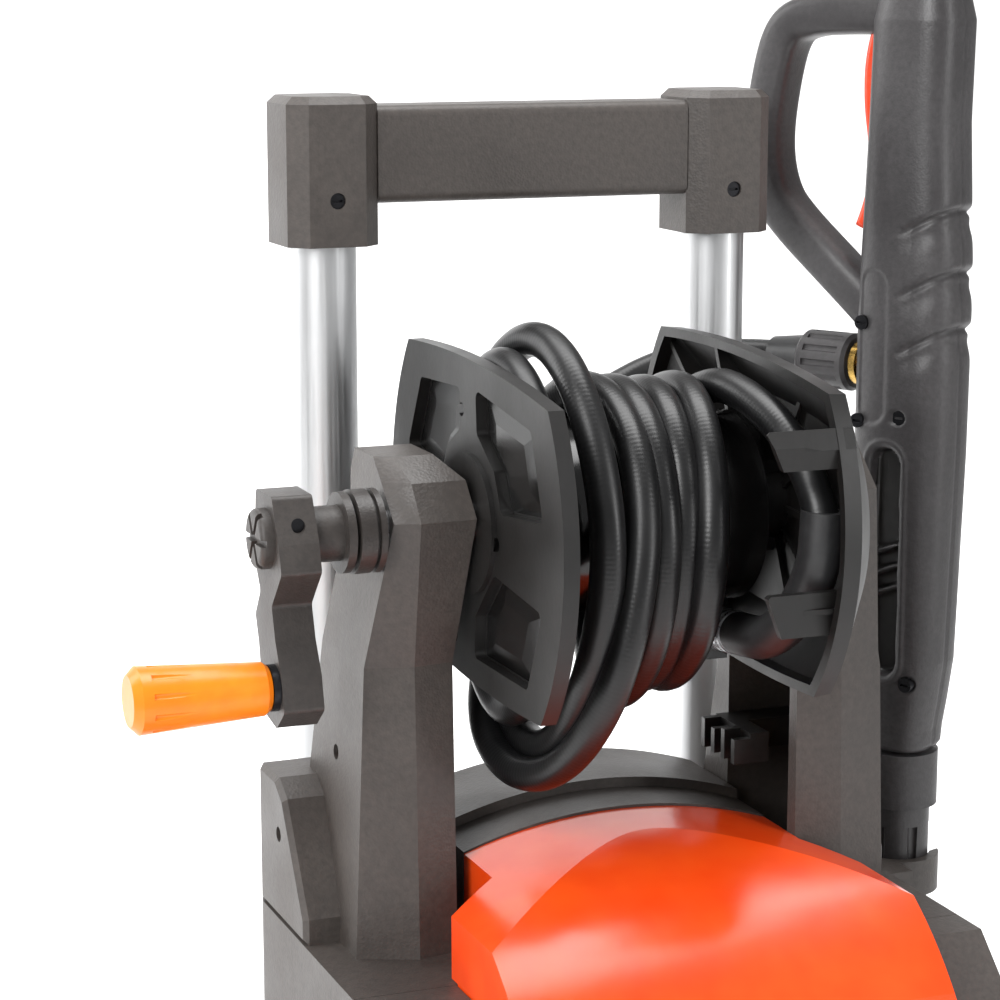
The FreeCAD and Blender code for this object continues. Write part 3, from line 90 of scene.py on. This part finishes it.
def surface(tree, shader, tone, gloss, relief):
    """Colour between two hex colours by a factor, roughness carried from a noise's range to its own, and
    bump from a height, given as (factor, dark, light), (noise, low, high, smooth, rough) and (height,
    strength, depth in mm)."""
    factor, dark, light = tone
    mixed = add_node(tree, "Mix", {0: factor, 6: linear(dark), 7: linear(light)}, data_type="RGBA")
    noise, low, high, smooth, rough = gloss
    span = {"From Min": low, "From Max": high, "To Min": smooth, "To Max": rough}
    drifting = add_node(tree, "MapRange", {"Value": noise, **span})
    height, strength, depth_mm = relief
    bump = add_node(tree, "Bump", {"Height": height, "Strength": strength, "Distance": depth_mm / 1000})
    tree.links.new(mixed.outputs[2], shader.inputs["Base Color"])
    tree.links.new(drifting.outputs[0], shader.inputs["Roughness"])
    tree.links.new(bump.outputs["Normal"], shader.inputs["Normal"])


def moulded(name, dark, light, roughness, grain_mm, depth_mm, uneven=0.08):
    """Moulded plastic: tone drifts between two colours, grain of a real size is bump, roughness drifts."""
    material, tree, shader, place = new_finish(name, {"IOR": 1.53})
    drift = add_node(tree, "TexNoise", {"Vector": place, "Scale": 22.0, "Detail": 3.0, "Roughness": 0.55})
    speck = add_node(tree, "TexNoise", {"Vector": place, "Scale": 1000 / (grain_mm * 2.2), "Detail": 2.0})
    product = {0: drift.outputs["Fac"], 1: speck.outputs["Fac"], 2: -0.1}
    tone = add_node(tree, "Math", product, operation="MULTIPLY_ADD")
    blend = add_node(tree, "MapRange", {"Value": tone.outputs[0], "From Min": 0.02, "From Max": 0.3})
    grain = add_node(tree, "TexVoronoi", {"Vector": place, "Scale": 1000 / grain_mm, "Randomness": 1.0})
    height = add_node(tree, "Math", {0: grain.outputs["Distance"], 1: speck.outputs["Fac"]}, operation="ADD")
    gloss = (drift.outputs["Fac"], 0.3, 0.7, roughness - uneven, roughness + uneven)
    surface(tree, shader, (blend.outputs[0], dark, light), gloss, (height.outputs[0], 0.55, depth_mm))
    return material


grained_abs = moulded("Grained_dark_grey_ABS", "#3b3633", "#48423e", 0.47, 1.1, 0.12)
dress(
    grained_abs,
    "chassis",
    "rear_housing",
    "tube_collars",
    "top_shroud",
    "side_panels",
    "left_stand",
    "right_stand",
    "corner_blocks",
    "crossbar",
    "gun_holders",
)

# ---- wheels and feet -----------------------------------------------------------------------
# Two wheels with a rubber band pushed on a polypropylene rim, free on a zinc plated steel axle,
# and two rubber feet in front. The rubber is matt and takes no clear highlight; the rim does.
tyre_rubber = moulded("Moulded_black_tyre_rubber", "#151414", "#232221", 0.78, 0.9, 0.2)
dress(tyre_rubber, "right_tyre", "left_tyre", "front_feet")
rim_plastic = moulded("Moulded_polypropylene_rim", "#2c2a2a", "#3a3736", 0.42, 1.0, 0.05)
dress(rim_plastic, "right_wheel_rim", "left_wheel_rim")


def metal(name, dark, light, roughness, streak, stretch, depth_mm=0.03):
    """Bare metal: fine streaks stretched along one axis, as its last tool or bath left them."""
    material, tree, shader, place = new_finish(name, {"Metallic": 1.0})
    spread = add_node(tree, "Mapping", {"Vector": place, "Scale": stretch})
    lines = add_node(tree, "TexNoise", {"Vector": spread.outputs[0], "Scale": 1000 / streak, "Detail": 2.0})
    cloud = add_node(tree, "TexNoise", {"Vector": place, "Scale": 60.0, "Detail": 2.0})
    gloss = (lines.outputs["Fac"], 0.25, 0.75, roughness * 0.8, roughness * 1.25)
    relief = (lines.outputs["Fac"], 0.5, depth_mm)
    surface(tree, shader, (cloud.outputs["Fac"], dark, light), gloss, relief)
    return material


zinc_steel = metal("Zinc_plated_steel", "#a9a9ab", "#c4c4c6", 0.3, 1.2, (1.0, 1.0, 1.0))
dress(zinc_steel, "axle", "reel_shaft")
black_steel = metal("Black_oxide_steel", "#2a2a2c", "#3a3a3d", 0.4, 1.2, (1.0, 1.0, 1.0))
dress(black_steel, "reel_fasteners", "corner_screws", "gun_fasteners", "grip_pin")

# ---- motor and pump ------------------------------------------------------------------------
# Inside the housing: a motor in a cast case with a steel stator and a plastic fan, and a
# die-cast aluminium pump with a brass head. The castings are dull and mottled, the turned brass
# bright. Most of it shows only through the slots.
cast_aluminium = metal("Die_cast_aluminium", "#8f8f92", "#b0b0b2", 0.45, 2.5, (1.0, 1.0, 1.0), 0.12)
dress(cast_aluminium, "pump_block", "motor_housing")
brass = metal("Turned_brass", "#b08a45", "#d8b56a", 0.26, 1.5, (1.0, 1.0, 1.0))
dress(brass, "pump_head", "swivel_block", "water_inlet", "gun_inlet", "gun_valve", "feed_pipe")
dress(zinc_steel, "stator", "motor_rotor")
black_plastic = moulded("Satin_black_moulded_plastic", "#191817", "#242221", 0.36, 1.4, 0.04)
dress(black_plastic, "cooling_fan", "cable_gland", "accessory_clip")
dress(black_plastic, "switch_bezel", "switch_knob", "power_switch")

# ---- orange front cover --------------------------------------------------------------------
# One glossy orange ABS moulding clipped over the front. It is polished in the mould, so it
# shows clear highlights with a very faint orange peel.
orange_gloss = moulded("Polished_orange_ABS", "#f0440f", "#f65116", 0.2, 9.0, 0.04, 0.03)
dress(orange_gloss, "front_cover")

# ---- reel ----------------------------------------------------------------------------------
# Drum and flanges are moulded in black polypropylene and screwed together on a hollow steel
# shaft. The flanges are satin, and the drum and the pocket floors are polished and darker.
reel_axis = np.array([0.0, -0.020, 0.5625])
flange_plastic = moulded("Semi_gloss_black_polypropylene", "#090807", "#100e0d", 0.44, 2.2, 0.04)
dress(flange_plastic, "left_flange", "right_flange")
drum_plastic = moulded("Polished_black_polypropylene", "#080808", "#0e0d0d", 0.18, 3.0, 0.02)
dress(drum_plastic, "drum")


def pocket_floor(name, outline, turn_degrees=3.0):
    """A glossy floor in a pocket of the left flange, (y, z) in mm from the reel's axis: the outline drawn in
    by a twentieth lies on the floor, and the same outline at half size stands 1.5 mm nearer, with a sloping
    face on every side between them."""
    corners = np.array(outline, float)
    middle = corners.mean(0)
    count = len(corners)
    rings = []
    for depth, size in ((-59.65, 0.95), (-59.7, 0.95), (-61.2, 0.5)):
        flat = middle + size * (corners - middle)
        rings.append(np.column_stack([np.full(count, depth), flat]))
    places = np.vstack(rings)
    angle = math.radians(turn_degrees)
    y, z = places[:, 1].copy(), places[:, 2].copy()
    places[:, 1] = y * math.cos(angle) - z * math.sin(angle)
    places[:, 2] = y * math.sin(angle) + z * math.cos(angle)
    places = places / 1000 + reel_axis
    faces = [list(range(count))[::-1], list(range(2 * count, 3 * count))]
    for ring in (0, count):
        for i in range(count):
            j = (i + 1) % count
            faces.append([ring + i, ring + j, ring + count + j, ring + count + i])
    mesh = bpy.data.meshes.new(name)
    mesh.from_pydata(places.tolist(), [], faces)
    mesh.materials.append(drum_plastic)
    piece = bpy.data.objects.new(name, mesh)
    bpy.context.collection.objects.link(piece)
    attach(piece, "reel")


pocket_outlines = [
    [(-2, 50), (-56, 46), (-69, 16), (-30, 10), (-22, 24), (-4, 34)],
    [(-24, -14), (-70, -16), (-58, -47), (-6, -50), (-6, -34)],
    [(14, 48), (56, 44), (70, 14), (34, 8), (26, 24), (14, 32)],
    [(30, -12), (70, -16), (58, -47), (12, -50), (12, -34)],
]
for number, outline in enumerate(pocket_outlines, 1):
    pocket_floor(f"pocket_floor_{number}", outline)

# ---- high-pressure hose --------------------------------------------------------------------
# Rubber hose 13 mm across, cured in a cloth wrap that leaves fine rings round it. It leaves the
# crimped ferrule on the drum, winds to the left flange, hangs in loose turns and runs behind
# the right handle tube to the gun.


def smooth_line(name, points, steps=10):
    """Places along the quadratic NURBS whose control points are the route's points."""
    curve = bpy.data.curves.new(name, "CURVE")
    curve.dimensions = "3D"
    curve.resolution_u = steps
    spline = curve.splines.new("NURBS")
    spline.points.add(len(points) - 1)
    spline.points.foreach_set("co", np.c_[points, np.ones(len(points))].ravel())
    spline.order_u = 3
    spline.use_endpoint_u = True
    holder = bpy.data.objects.new(name, curve)
    line = bpy.data.meshes.new_from_object(holder)
    places = np.empty(len(line.vertices) * 3)
    line.vertices.foreach_get("co", places)
    bpy.data.objects.remove(holder)
    bpy.data.meshes.remove(line)
    places = places.reshape(-1, 3)
    return places[np.r_[True, np.linalg.norm(np.diff(places, axis=0), axis=1) > 1e-6]]


def evenly(places, step):
    """The same line with places a fixed step apart: each coordinate read at equal arc lengths."""
    along = np.r_[0, np.cumsum(np.linalg.norm(np.diff(places, axis=0), axis=1))]
    even = np.linspace(0, along[-1], max(4, round(along[-1] / step)))
    return np.column_stack([np.interp(even, along, places[:, i]) for i in range(3)]), even


def ring_quads(rings, sides):
    """Faces between closed rings of points: sides j and j + 1 of ring i, to the same two of ring i + 1."""
    rows, columns = np.meshgrid(np.arange(rings - 1), np.arange(sides), indexing="ij")
    here, there = rows * sides, (rows + 1) * sides
    after = (columns + 1) % sides
    quads = np.stack([here + columns, here + after, there + after, there + columns], -1)
    return rows, columns, quads.reshape(-1, 4)


def swept(name, places, radius, along, sides=24):
    """A closed tube: ring i is centre(i) + radius * (cos a * side(i) + sin a * up(i)), where the side turns
    with the line as little as it can. Flat caps close both ends. The UV map is (turn, metres along)."""
    heading = np.gradient(places, axis=0)
    heading /= np.linalg.norm(heading, axis=1)[:, None]
    side = np.cross(heading[0], (0.3, 0.2, 0.93))
    sides_list = []
    for direction in heading:
        side = side - direction * side.dot(direction)
        side /= np.linalg.norm(side)
        sides_list.append(side)
    side = np.array(sides_list)
    up = np.cross(heading, side)
    turn = np.linspace(0, 2 * np.pi, sides, endpoint=False)
    ring = np.cos(turn)[None, :, None] * side[:, None] + np.sin(turn)[None, :, None] * up[:, None]
    vertices = (places[:, None] + radius * ring).reshape(-1, 3)
    rows, columns, quads = ring_quads(len(places), sides)
    ends = [list(range(sides))[::-1], list(range((len(places) - 1) * sides, len(places) * sides))]
    mesh = bpy.data.meshes.new(name)
    mesh.from_pydata(vertices.tolist(), [], quads.tolist() + ends)
    layer = mesh.uv_layers.new(name="Along")
    around = np.stack([columns, columns + 1, columns + 1, columns], -1).reshape(-1) / sides
    length = np.stack([along[rows], along[rows], along[rows + 1], along[rows + 1]], -1).reshape(-1)
    cap = np.r_[np.full(sides, along[0]), np.full(sides, along[-1])]
    flat = np.column_stack([np.r_[around, np.zeros(2 * sides)], np.r_[length, cap]])
    layer.data.foreach_set("uv", flat.ravel())
    mesh.shade_smooth()
    mesh.update()
    piece = bpy.data.objects.new(name, mesh)
    bpy.context.collection.objects.link(piece)
    return piece


def hose_finish(name, dark, light, ring_mm, depth_mm, roughness):
    """Satin rubber: sine rings at the cloth's pitch along the hose, moved about by noise, as bump."""
    material, tree, shader, place = new_finish(name, {"IOR": 1.52})
    uv = add_node(tree, "UVMap", {}, uv_map="Along")
    parts = add_node(tree, "SeparateXYZ", {"Vector": uv.outputs[0]})
    wobble = add_node(tree, "TexNoise", {"Vector": place, "Scale": 90.0, "Detail": 2.0})
    moved = {0: wobble.outputs["Fac"], 1: ring_mm / 1000, 2: parts.outputs["Y"]}
    shift = add_node(tree, "Math", moved, operation="MULTIPLY_ADD")
    per_metre = 2 * math.pi * 1000 / ring_mm
    phase = add_node(tree, "Math", {0: shift.outputs[0], 1: per_metre}, operation="MULTIPLY")
    rings = add_node(tree, "Math", {0: phase.outputs[0]}, operation="SINE")
    cloud = add_node(tree, "TexNoise", {"Vector": place, "Scale": 35.0, "Detail": 4.0, "Roughness": 0.6})
    fine = add_node(tree, "TexNoise", {"Vector": place, "Scale": 600.0, "Detail": 1.0})
    roughened = {0: fine.outputs["Fac"], 1: 0.8, 2: rings.outputs[0]}
    height = add_node(tree, "Math", roughened, operation="MULTIPLY_ADD")
    gloss = (cloud.outputs["Fac"], 0.3, 0.7, roughness - 0.06, roughness + 0.08)
    relief = (height.outputs[0], 0.6, depth_mm)
    surface(tree, shader, (cloud.outputs["Fac"], dark, light), gloss, relief)
    return material


hose_rubber = hose_finish("Wrapped_black_hose_rubber", "#0b0b0c", "#121213", 1.7, 0.02, 0.36)
hose_diameter = 0.013
lead_offsets = [
    (36, -20, -46),
    (37, -41, -44),
    (40, -59, -31),
    (44, -68, -11),
    (45, -68, 9),
    (42, -51, 31),
    (37, -28, 44),
    (31, -2, 49),
]
lead_route = np.array(lead_offsets) / 1000 + reel_axis


def turns(knots, per_turn=12):
    """Control points of hand-wound turns: at angle a from the top, going over the back, a point is
    (x(a), half_y(a) * sin a, centre(a) + half_z(a) * cos a), each read between given knots in mm, which
    are (turns, x, half_y, half_z, centre)."""
    knots = np.array(knots, float)
    where = np.arange(math.ceil(knots[0, 0] * per_turn), math.floor(knots[-1, 0] * per_turn) + 1) / per_turn
    x, half_y, half_z, centre = (np.interp(where, knots[:, 0], knots[:, i]) for i in (1, 2, 3, 4))
    angle = 2 * np.pi * where
    return np.column_stack([x, half_y * np.sin(angle), centre + half_z * np.cos(angle)]) / 1000 + reel_axis


tight_turns = turns(
    [
        (0.09, 29, 47, 49, -1),
        (0.25, 24, 46, 49, -1),
        (0.5, 9, 49, 58, -7),
        (0.75, 10, 50, 58, -8),
        (1.0, 20, 45, 50, -3),
        (1.25, 14, 45, 50, -3),
        (1.5, 1, 46, 57, -8),
        (1.75, 1, 45, 55, -7),
        (2.0, 7.5, 44, 48, -2),
        (2.25, 1, 45, 50, -3),
        (2.5, -10, 50, 60, -11),
        (2.75, -8.5, 50, 58, -8),
        (3.0, -5, 45, 50, -3),
        (3.25, -17, 47, 52, -3),
    ]
)
line, along = evenly(smooth_line("tight_line", np.vstack([lead_route, tight_turns])), 0.002)
tight_hose = swept("high_pressure_hose_wound", line, hose_diameter / 2, along)
tight_hose.data.materials.append(hose_rubber)
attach(tight_hose, "reel")
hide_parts("hose_lead", "hose_wound")

loose_turns = turns(
    [
        (0.25, -17, 47, 52, -3),
        (0.33, -34, 54, 74, -9),
        (0.42, -50.5, 60, 84, -10),
        (0.5, -49, 62, 87, -11),
        (0.58, -41, 66, 89, -12),
        (0.67, -30, 66, 84, -12),
        (0.75, -20.5, 58, 64, -9),
        (0.87, -14, 50, 52, -4),
        (1.0, -15, 46, 51, -3),
        (1.25, -27, 50, 62, -6),
        (1.42, -41, 56, 76, -8),
        (1.5, -40, 58, 82, -8),
        (1.62, -37, 58, 80, -6),
        (1.75, -33, 58, 74, -4),
        (2.0, -38, 54, 70, -1),
        (2.25, -47, 52, 66, -4),
        (2.5, -50.5, 50, 66, -8),
        (2.75, -51, 50, 60, -4),
        (3.0, -50.5, 50, 62, -2),
        (3.17, -49, 50, 60, -4),
    ]
)
tail_offsets = [
    (-46, 62, -8),
    (-39, 88, -27),
    (-21, 116, -34),
    (2, 149, -25),
    (31, 174, -7),
    (64, 184, 13),
    (98, 181, 29),
]
tail_route = np.array(tail_offsets) / 1000 + reel_axis
gun_end = np.array([(126.3, 143.48, 596), (142.3, 115.77, 596)]) / 1000
line, along = evenly(smooth_line("loose_line", np.vstack([loose_turns, tail_route, gun_end])), 0.002)
loose_hose = swept("high_pressure_hose_loose", line, hose_diameter / 2, along)
loose_hose.data.materials.append(hose_rubber)
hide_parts("hose_loose", "hose_tail")
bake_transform(loose_hose)

# ---- hose ferrule and bend sleeve ----------------------------------------------------------
# The crimped steel ferrule grips the hose end, and a moulded rubber sleeve holds the first
# bend open. The sleeve is smooth and a little greyer than the hose.
sleeve_rubber = moulded("Moulded_grey_black_rubber", "#1f1f20", "#2a2a2b", 0.42, 1.8, 0.04)
dress(sleeve_rubber, "hose_sleeve", "hose_guard")
dress(zinc_steel, "hose_ferrule")

# ---- crank ---------------------------------------------------------------------------------
# A dark cranked arm locked on the shaft by a set screw, with stepped collars against the stand,
# and an orange grip that turns on its own pin. Grain keeps the arm dull; the grip is satin.
crank_plastic = moulded("Grained_dark_crank_ABS", "#2f2b29", "#3a3532", 0.45, 1.0, 0.12)
dress(crank_plastic, "crank_arm", "crank_collar", "crank_cap")
grip_orange = moulded("Satin_orange_grip_plastic", "#f07a02", "#f7860a", 0.34, 3.0, 0.04, 0.05)
dress(grip_orange, "crank_grip")

# ---- handle --------------------------------------------------------------------------------
# Two satin anodised aluminium tubes slide in the rear housing; grained corner blocks and a
# crossbar close the top. Drawing leaves faint lines along each tube.
anodised_tube = metal("Satin_anodised_aluminium", "#c9cacb", "#d4d5d6", 0.44, 1.4, (1.0, 1.0, 0.02), 0.02)
dress(anodised_tube, "handle_tubes", "lance_tube")

# ---- gun and lance -------------------------------------------------------------------------
# Two grey grained ABS shells screwed together round the valve, smooth and rounded in the hand,
# with finger grooves on the spine, a sunk oval pad, a long slot, and a guard round a slim
# orange trigger that sinks into its own slot. The grain is fine, so highlights stay soft.
gun_plastic = moulded("Grained_grey_gun_ABS", "#343233", "#413f40", 0.45, 1.0, 0.08)
dress(gun_plastic, "gun_shell_left", "gun_shell_right", "hose_nut", "lance_sleeve", "nozzle")
gun_turn = math.radians(120)
gun_centre = (0.1693, 0.069)


def in_gun(points):
    """Gun places in mm (across, thickness, height), turned by the gun's angle about its upright axis."""
    x, y, z = np.moveaxis(np.asarray(points, float), -1, 0) / 1000
    turned = (
        gun_centre[0] + x * math.cos(gun_turn) - y * math.sin(gun_turn),
        gun_centre[1] + x * math.sin(gun_turn) + y * math.cos(gun_turn),
        z,
    )
    return np.stack(turned, -1)


def closed_grid(name, grid):
    """A mesh from a grid of rings: each ring closes on itself, and a fan to its middle closes each end."""
    rings, sides = grid.shape[:2]
    _, _, quads = ring_quads(rings, sides)
    middles = np.stack([grid[0].mean(0), grid[-1].mean(0)])
    first = rings * sides
    step = np.arange(sides)
    after = (step + 1) % sides
    low = np.stack([np.full(sides, first), after, step], -1)
    high = np.stack([np.full(sides, first + 1), first - sides + step, first - sides + after], -1)
    mesh = bpy.data.meshes.new(name)
    vertices = np.vstack([grid.reshape(-1, 3), middles])
    mesh.from_pydata(vertices.tolist(), [], quads.tolist() + low.tolist() + high.tolist())
    mesh.shade_smooth()
    mesh.update()
    piece = bpy.data.objects.new(name, mesh)
    bpy.context.collection.objects.link(piece)
    return piece


def stadium(x, z, middle_x, middle_z, half_x, half_z):
    """Distance in mm outside an upright oval slot with round ends, negative inside it."""
    beyond = np.maximum(np.abs(z - middle_z) - (half_z - half_x), 0)
    return np.hypot(x - middle_x, beyond) - half_x


def gun_body():
    """Rings up the gun: x = middle(z) + a(z) * c, y = b(z) * s, where (c, s) goes round a rounded square of
    power 2.9. The face toward +y is pressed in at the pad, the slot and two screws, the front is cut in for
    the trigger, and slanting furrows cross the spine. Faces pressed in deepest, at the slot's floor, take
    the black plastic as painted shade."""
    height = np.linspace(430.5, 754.5, 400)
    levels = [430.5, 433, 440, 452, 470, 560, 612, 640, 700, 742, 751, 754.5]
    front = np.interp(height, levels, [19, 20.6, 21.5, 22.8, 23.2, 21.5, 21.3, 20.5, 18, 17, 15, 11])
    backs = [-15, -16.6, -17, -19, -21.5, -24.2, -24.6, -24.4, -21.5, -22.5, -20.5, -17]
    back = np.interp(height, levels, backs)
    half = np.interp(height, levels, [14.5, 16.2, 17, 17.6, 18.2, 18.6, 18.8, 18.8, 18.4, 18, 16, 12.5])
    turn = np.linspace(0, 2 * np.pi, 200, endpoint=False)
    power = 2 / 2.9
    across = np.sign(np.cos(turn)) * np.abs(np.cos(turn)) ** power
    thick = np.sign(np.sin(turn)) * np.abs(np.sin(turn)) ** power
    middle = (front + back)[:, None] / 2
    reach = (front - back)[:, None] / 2
    x = middle + reach * across
    y = half[:, None] * thick
    z = np.broadcast_to(height[:, None], x.shape)
    facing = np.clip((thick[None, :] - 0.55) / 0.3, 0, 1)
    spine = np.clip((-0.05 - across[None, :]) / 0.3, 0, 1)
    furrow = np.zeros_like(x)
    for level in (604, 628, 654):
        rise = z - level + 0.5 * (x + 4)
        furrow += np.exp(-((rise / 1.7) ** 2)) + 0.7 * np.exp(-(((rise + 5) / 5.0) ** 2))
    scale = 1 - 0.09 * furrow * spine
    pad = np.clip(-stadium(x, z, 8.2, 606, 7.6, 33.5) / 1.2, 0, 1) * 1.0
    slot = np.clip(-stadium(x, z, 0.4, 514, 7.6, 50) / 1.5, 0, 1) * 6.5
    for level in (502, 511, 520):
        slot *= 1 - 0.6 * np.exp(-(((z - level + 0.4 * x) / 1.3) ** 2))
    lip = np.exp(-((stadium(x, z, 0.4, 514, 9.8, 52.5) / 1.1) ** 2)) * 0.7
    seam = np.exp(-((y / 0.7) ** 2)) * 0.6
    wells = np.zeros_like(x)
    for at, level in ((-5.5, 577), (-12, 462)):
        wells += np.clip((3.6 - np.hypot(x - at, z - level)) / 0.8, 0, 1)
    press = (pad + slot - lip + 1.3 * wells) * facing
    trigger_slot = np.clip((6.8 - np.abs(y)) / 0.6, 0, 1)
    trigger_slot = trigger_slot * np.clip((z - 650) / 1.2, 0, 1) * np.clip((749 - z) / 1.2, 0, 1)
    x = x - trigger_slot * (across[None, :] > 0.5) * np.maximum(x - 3.0, 0)
    grid = np.stack([middle + (x - middle) * scale * (1 - seam / 22), y * scale - press, z], -1)
    piece = closed_grid("gun_casing", in_gun(grid))
    # Painted shade: faces pressed in more than 4.6 mm, the floor of the slot, take the black plastic to
    # darken the recess.
    deep = (press[:-1] + press[1:]) / 2 > 4.6
    painted_shade_faces = np.r_[deep.ravel().astype(int), np.zeros(2 * len(turn), int)]
    piece.data.polygons.foreach_set("material_index", painted_shade_faces)
    return piece


casing = gun_body()
casing.data.materials.append(gun_plastic)
# The second material is painted shade: black plastic on the deepest faces of the slot.
casing.data.materials.append(black_plastic)
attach(casing, "gun")


def along_path(name, points, half_width, half_depth):
    """A rounded bar: rings of power 3.2 carried along a flat path in the gun's own plane, half_width in that
    plane and half_depth across it. The path is the quadratic NURBS of its points, and the side of positive
    width has a shallow furrow along it."""
    path, _ = evenly(smooth_line(name + "_line", np.array(points, float) / 1000), 0.002)
    heading = np.gradient(path, axis=0)
    heading /= np.linalg.norm(heading, axis=1)[:, None]
    flat = np.column_stack([heading[:, 2], np.zeros(len(path)), -heading[:, 0]])
    turn = np.linspace(0, 2 * np.pi, 32, endpoint=False)
    power = 2 / 3.2
    wide = np.sign(np.cos(turn)) * np.abs(np.cos(turn)) ** power * half_width
    deep = np.sign(np.sin(turn)) * np.abs(np.sin(turn)) ** power * half_depth
    dent = 1.6 * np.exp(-((deep / 5.5) ** 2)) * (wide > 0)
    grid = path[:, None] * 1000 + flat[:, None] * (wide - dent)[None, :, None]
    grid[:, :, 1] += deep[None, :]
    return closed_grid(name, in_gun(grid))


guard_path = [
    (8, 0, 612),
    (22, 0, 624),
    (40, 0, 639),
    (58, 0, 654),
    (69, 0, 666),
    (74, 0, 688),
    (70, 0, 718),
    (64, 0, 738),
    (52, 0, 744),
    (30, 0, 745),
    (8, 0, 745),
]
guard = along_path("trigger_guard", guard_path, -9.5, 10.4)
guard.data.materials.append(gun_plastic)
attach(guard, "gun")
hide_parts("gun_shell_left", "gun_shell_right")
trigger_orange = moulded("Satin_orange_trigger_plastic", "#e0401c", "#e84c26", 0.34, 2.0, 0.04)
trigger_path = [(15, 0, 744), (20, 0, 730), (20.5, 0, 708), (17, 0, 688), (17.5, 0, 668), (23, 0, 655)]
trigger = along_path("trigger_blade", trigger_path, 3.6, 5.6)
trigger.data.materials.append(trigger_orange)
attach(trigger, "trigger")
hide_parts("gun_trigger")

# ---- floor, light and camera ---------------------------------------------------------------
# A plain pale floor that curves up behind, soft lights at both sides, above and behind left, one
# more on the backdrop, and the camera at the front left, level with the top of the gun.


def sweep_floor(half_width, front, back, height, curl):
    """Flat from the front to the back, then a quarter circle of the curl's radius up into a wall."""
    turn = np.linspace(0, np.pi / 2, 17)
    y = np.r_[front, back + curl * np.sin(turn), back + curl]
    z = np.r_[0, curl - curl * np.cos(turn), height]
    profile = np.column_stack([y, z])
    left = np.column_stack([np.full(len(y), -half_width), profile])
    right = np.column_stack([np.full(len(y), half_width), profile])
    rows = np.arange(len(y) - 1)
    quads = np.stack([rows, rows + len(y), rows + len(y) + 1, rows + 1], -1)
    mesh = bpy.data.meshes.new("floor")
    mesh.from_pydata(np.vstack([left, right]).tolist(), [], quads.tolist())
    mesh.shade_smooth()
    piece = bpy.data.objects.new("floor", mesh)
    bpy.context.collection.objects.link(piece)
    return piece


floor = sweep_floor(9.0, -6.0, 3.0, 7.0, 2.0)
paper_values = {"Base Color": linear("#f4f4f4"), "Roughness": 0.9}
floor_material, tree, shader, place = new_finish("Pale_studio_paper", paper_values)
fibres = add_node(tree, "TexNoise", {"Vector": place, "Scale": 400.0, "Detail": 2.0})
bump = add_node(tree, "Bump", {"Height": fibres.outputs["Fac"], "Strength": 0.1, "Distance": 0.0002})
tree.links.new(bump.outputs["Normal"], shader.inputs["Normal"])
floor.data.materials.append(floor_material)

bpy.context.scene.view_settings.view_transform = "Standard"
world = bpy.data.worlds.new("studio")
bpy.context.scene.world = world
world.use_nodes = True
world.node_tree.nodes["Background"].inputs["Color"].default_value = linear("#ffffff")
world.node_tree.nodes["Background"].inputs["Strength"].default_value = 0.35


def soft_light(name, place, target, width, height, power):
    """A rectangular light of that size, turned from its place toward the target."""
    data = bpy.data.lights.new(name, "AREA")
    data.shape = "RECTANGLE"
    data.size = width
    data.size_y = height
    data.energy = power
    lamp = bpy.data.objects.new(name, data)
    bpy.context.collection.objects.link(lamp)
    lamp.location = place
    lamp.rotation_euler = (Vector(target) - Vector(place)).to_track_quat("-Z", "Y").to_euler()


soft_light("key_light", (-1.5, -1.2, 1.6), (0.0, 0.0, 0.55), 0.8, 1.6, 46)
soft_light("side_light", (1.5, -1.6, 1.1), (0.0, 0.0, 0.55), 0.35, 1.5, 16)
soft_light("top_light", (0.1, 0.2, 2.2), (0.0, 0.0, 0.5), 1.6, 1.0, 34)
soft_light("left_rear_light", (-1.8, 1.3, 1.3), (0.0, 0.0, 0.6), 0.8, 1.6, 26)
soft_light("backdrop_light", (0.0, 1.6, 2.8), (0.0, 4.5, 1.0), 3.0, 1.0, 230)

camera_data = bpy.data.cameras.new("camera")
camera = bpy.data.objects.new("camera", camera_data)
bpy.context.collection.objects.link(camera)
camera.location = (-0.407, -0.929, 0.758)
camera_data.sensor_width = 36
camera_data.lens = 97.2
heading = math.radians(21.3)
pitch = math.radians(-10.9)
camera.rotation_euler = (math.pi / 2 + pitch, 0.0, -heading)
bpy.context.scene.camera = camera
bpy.context.view_layer.update()
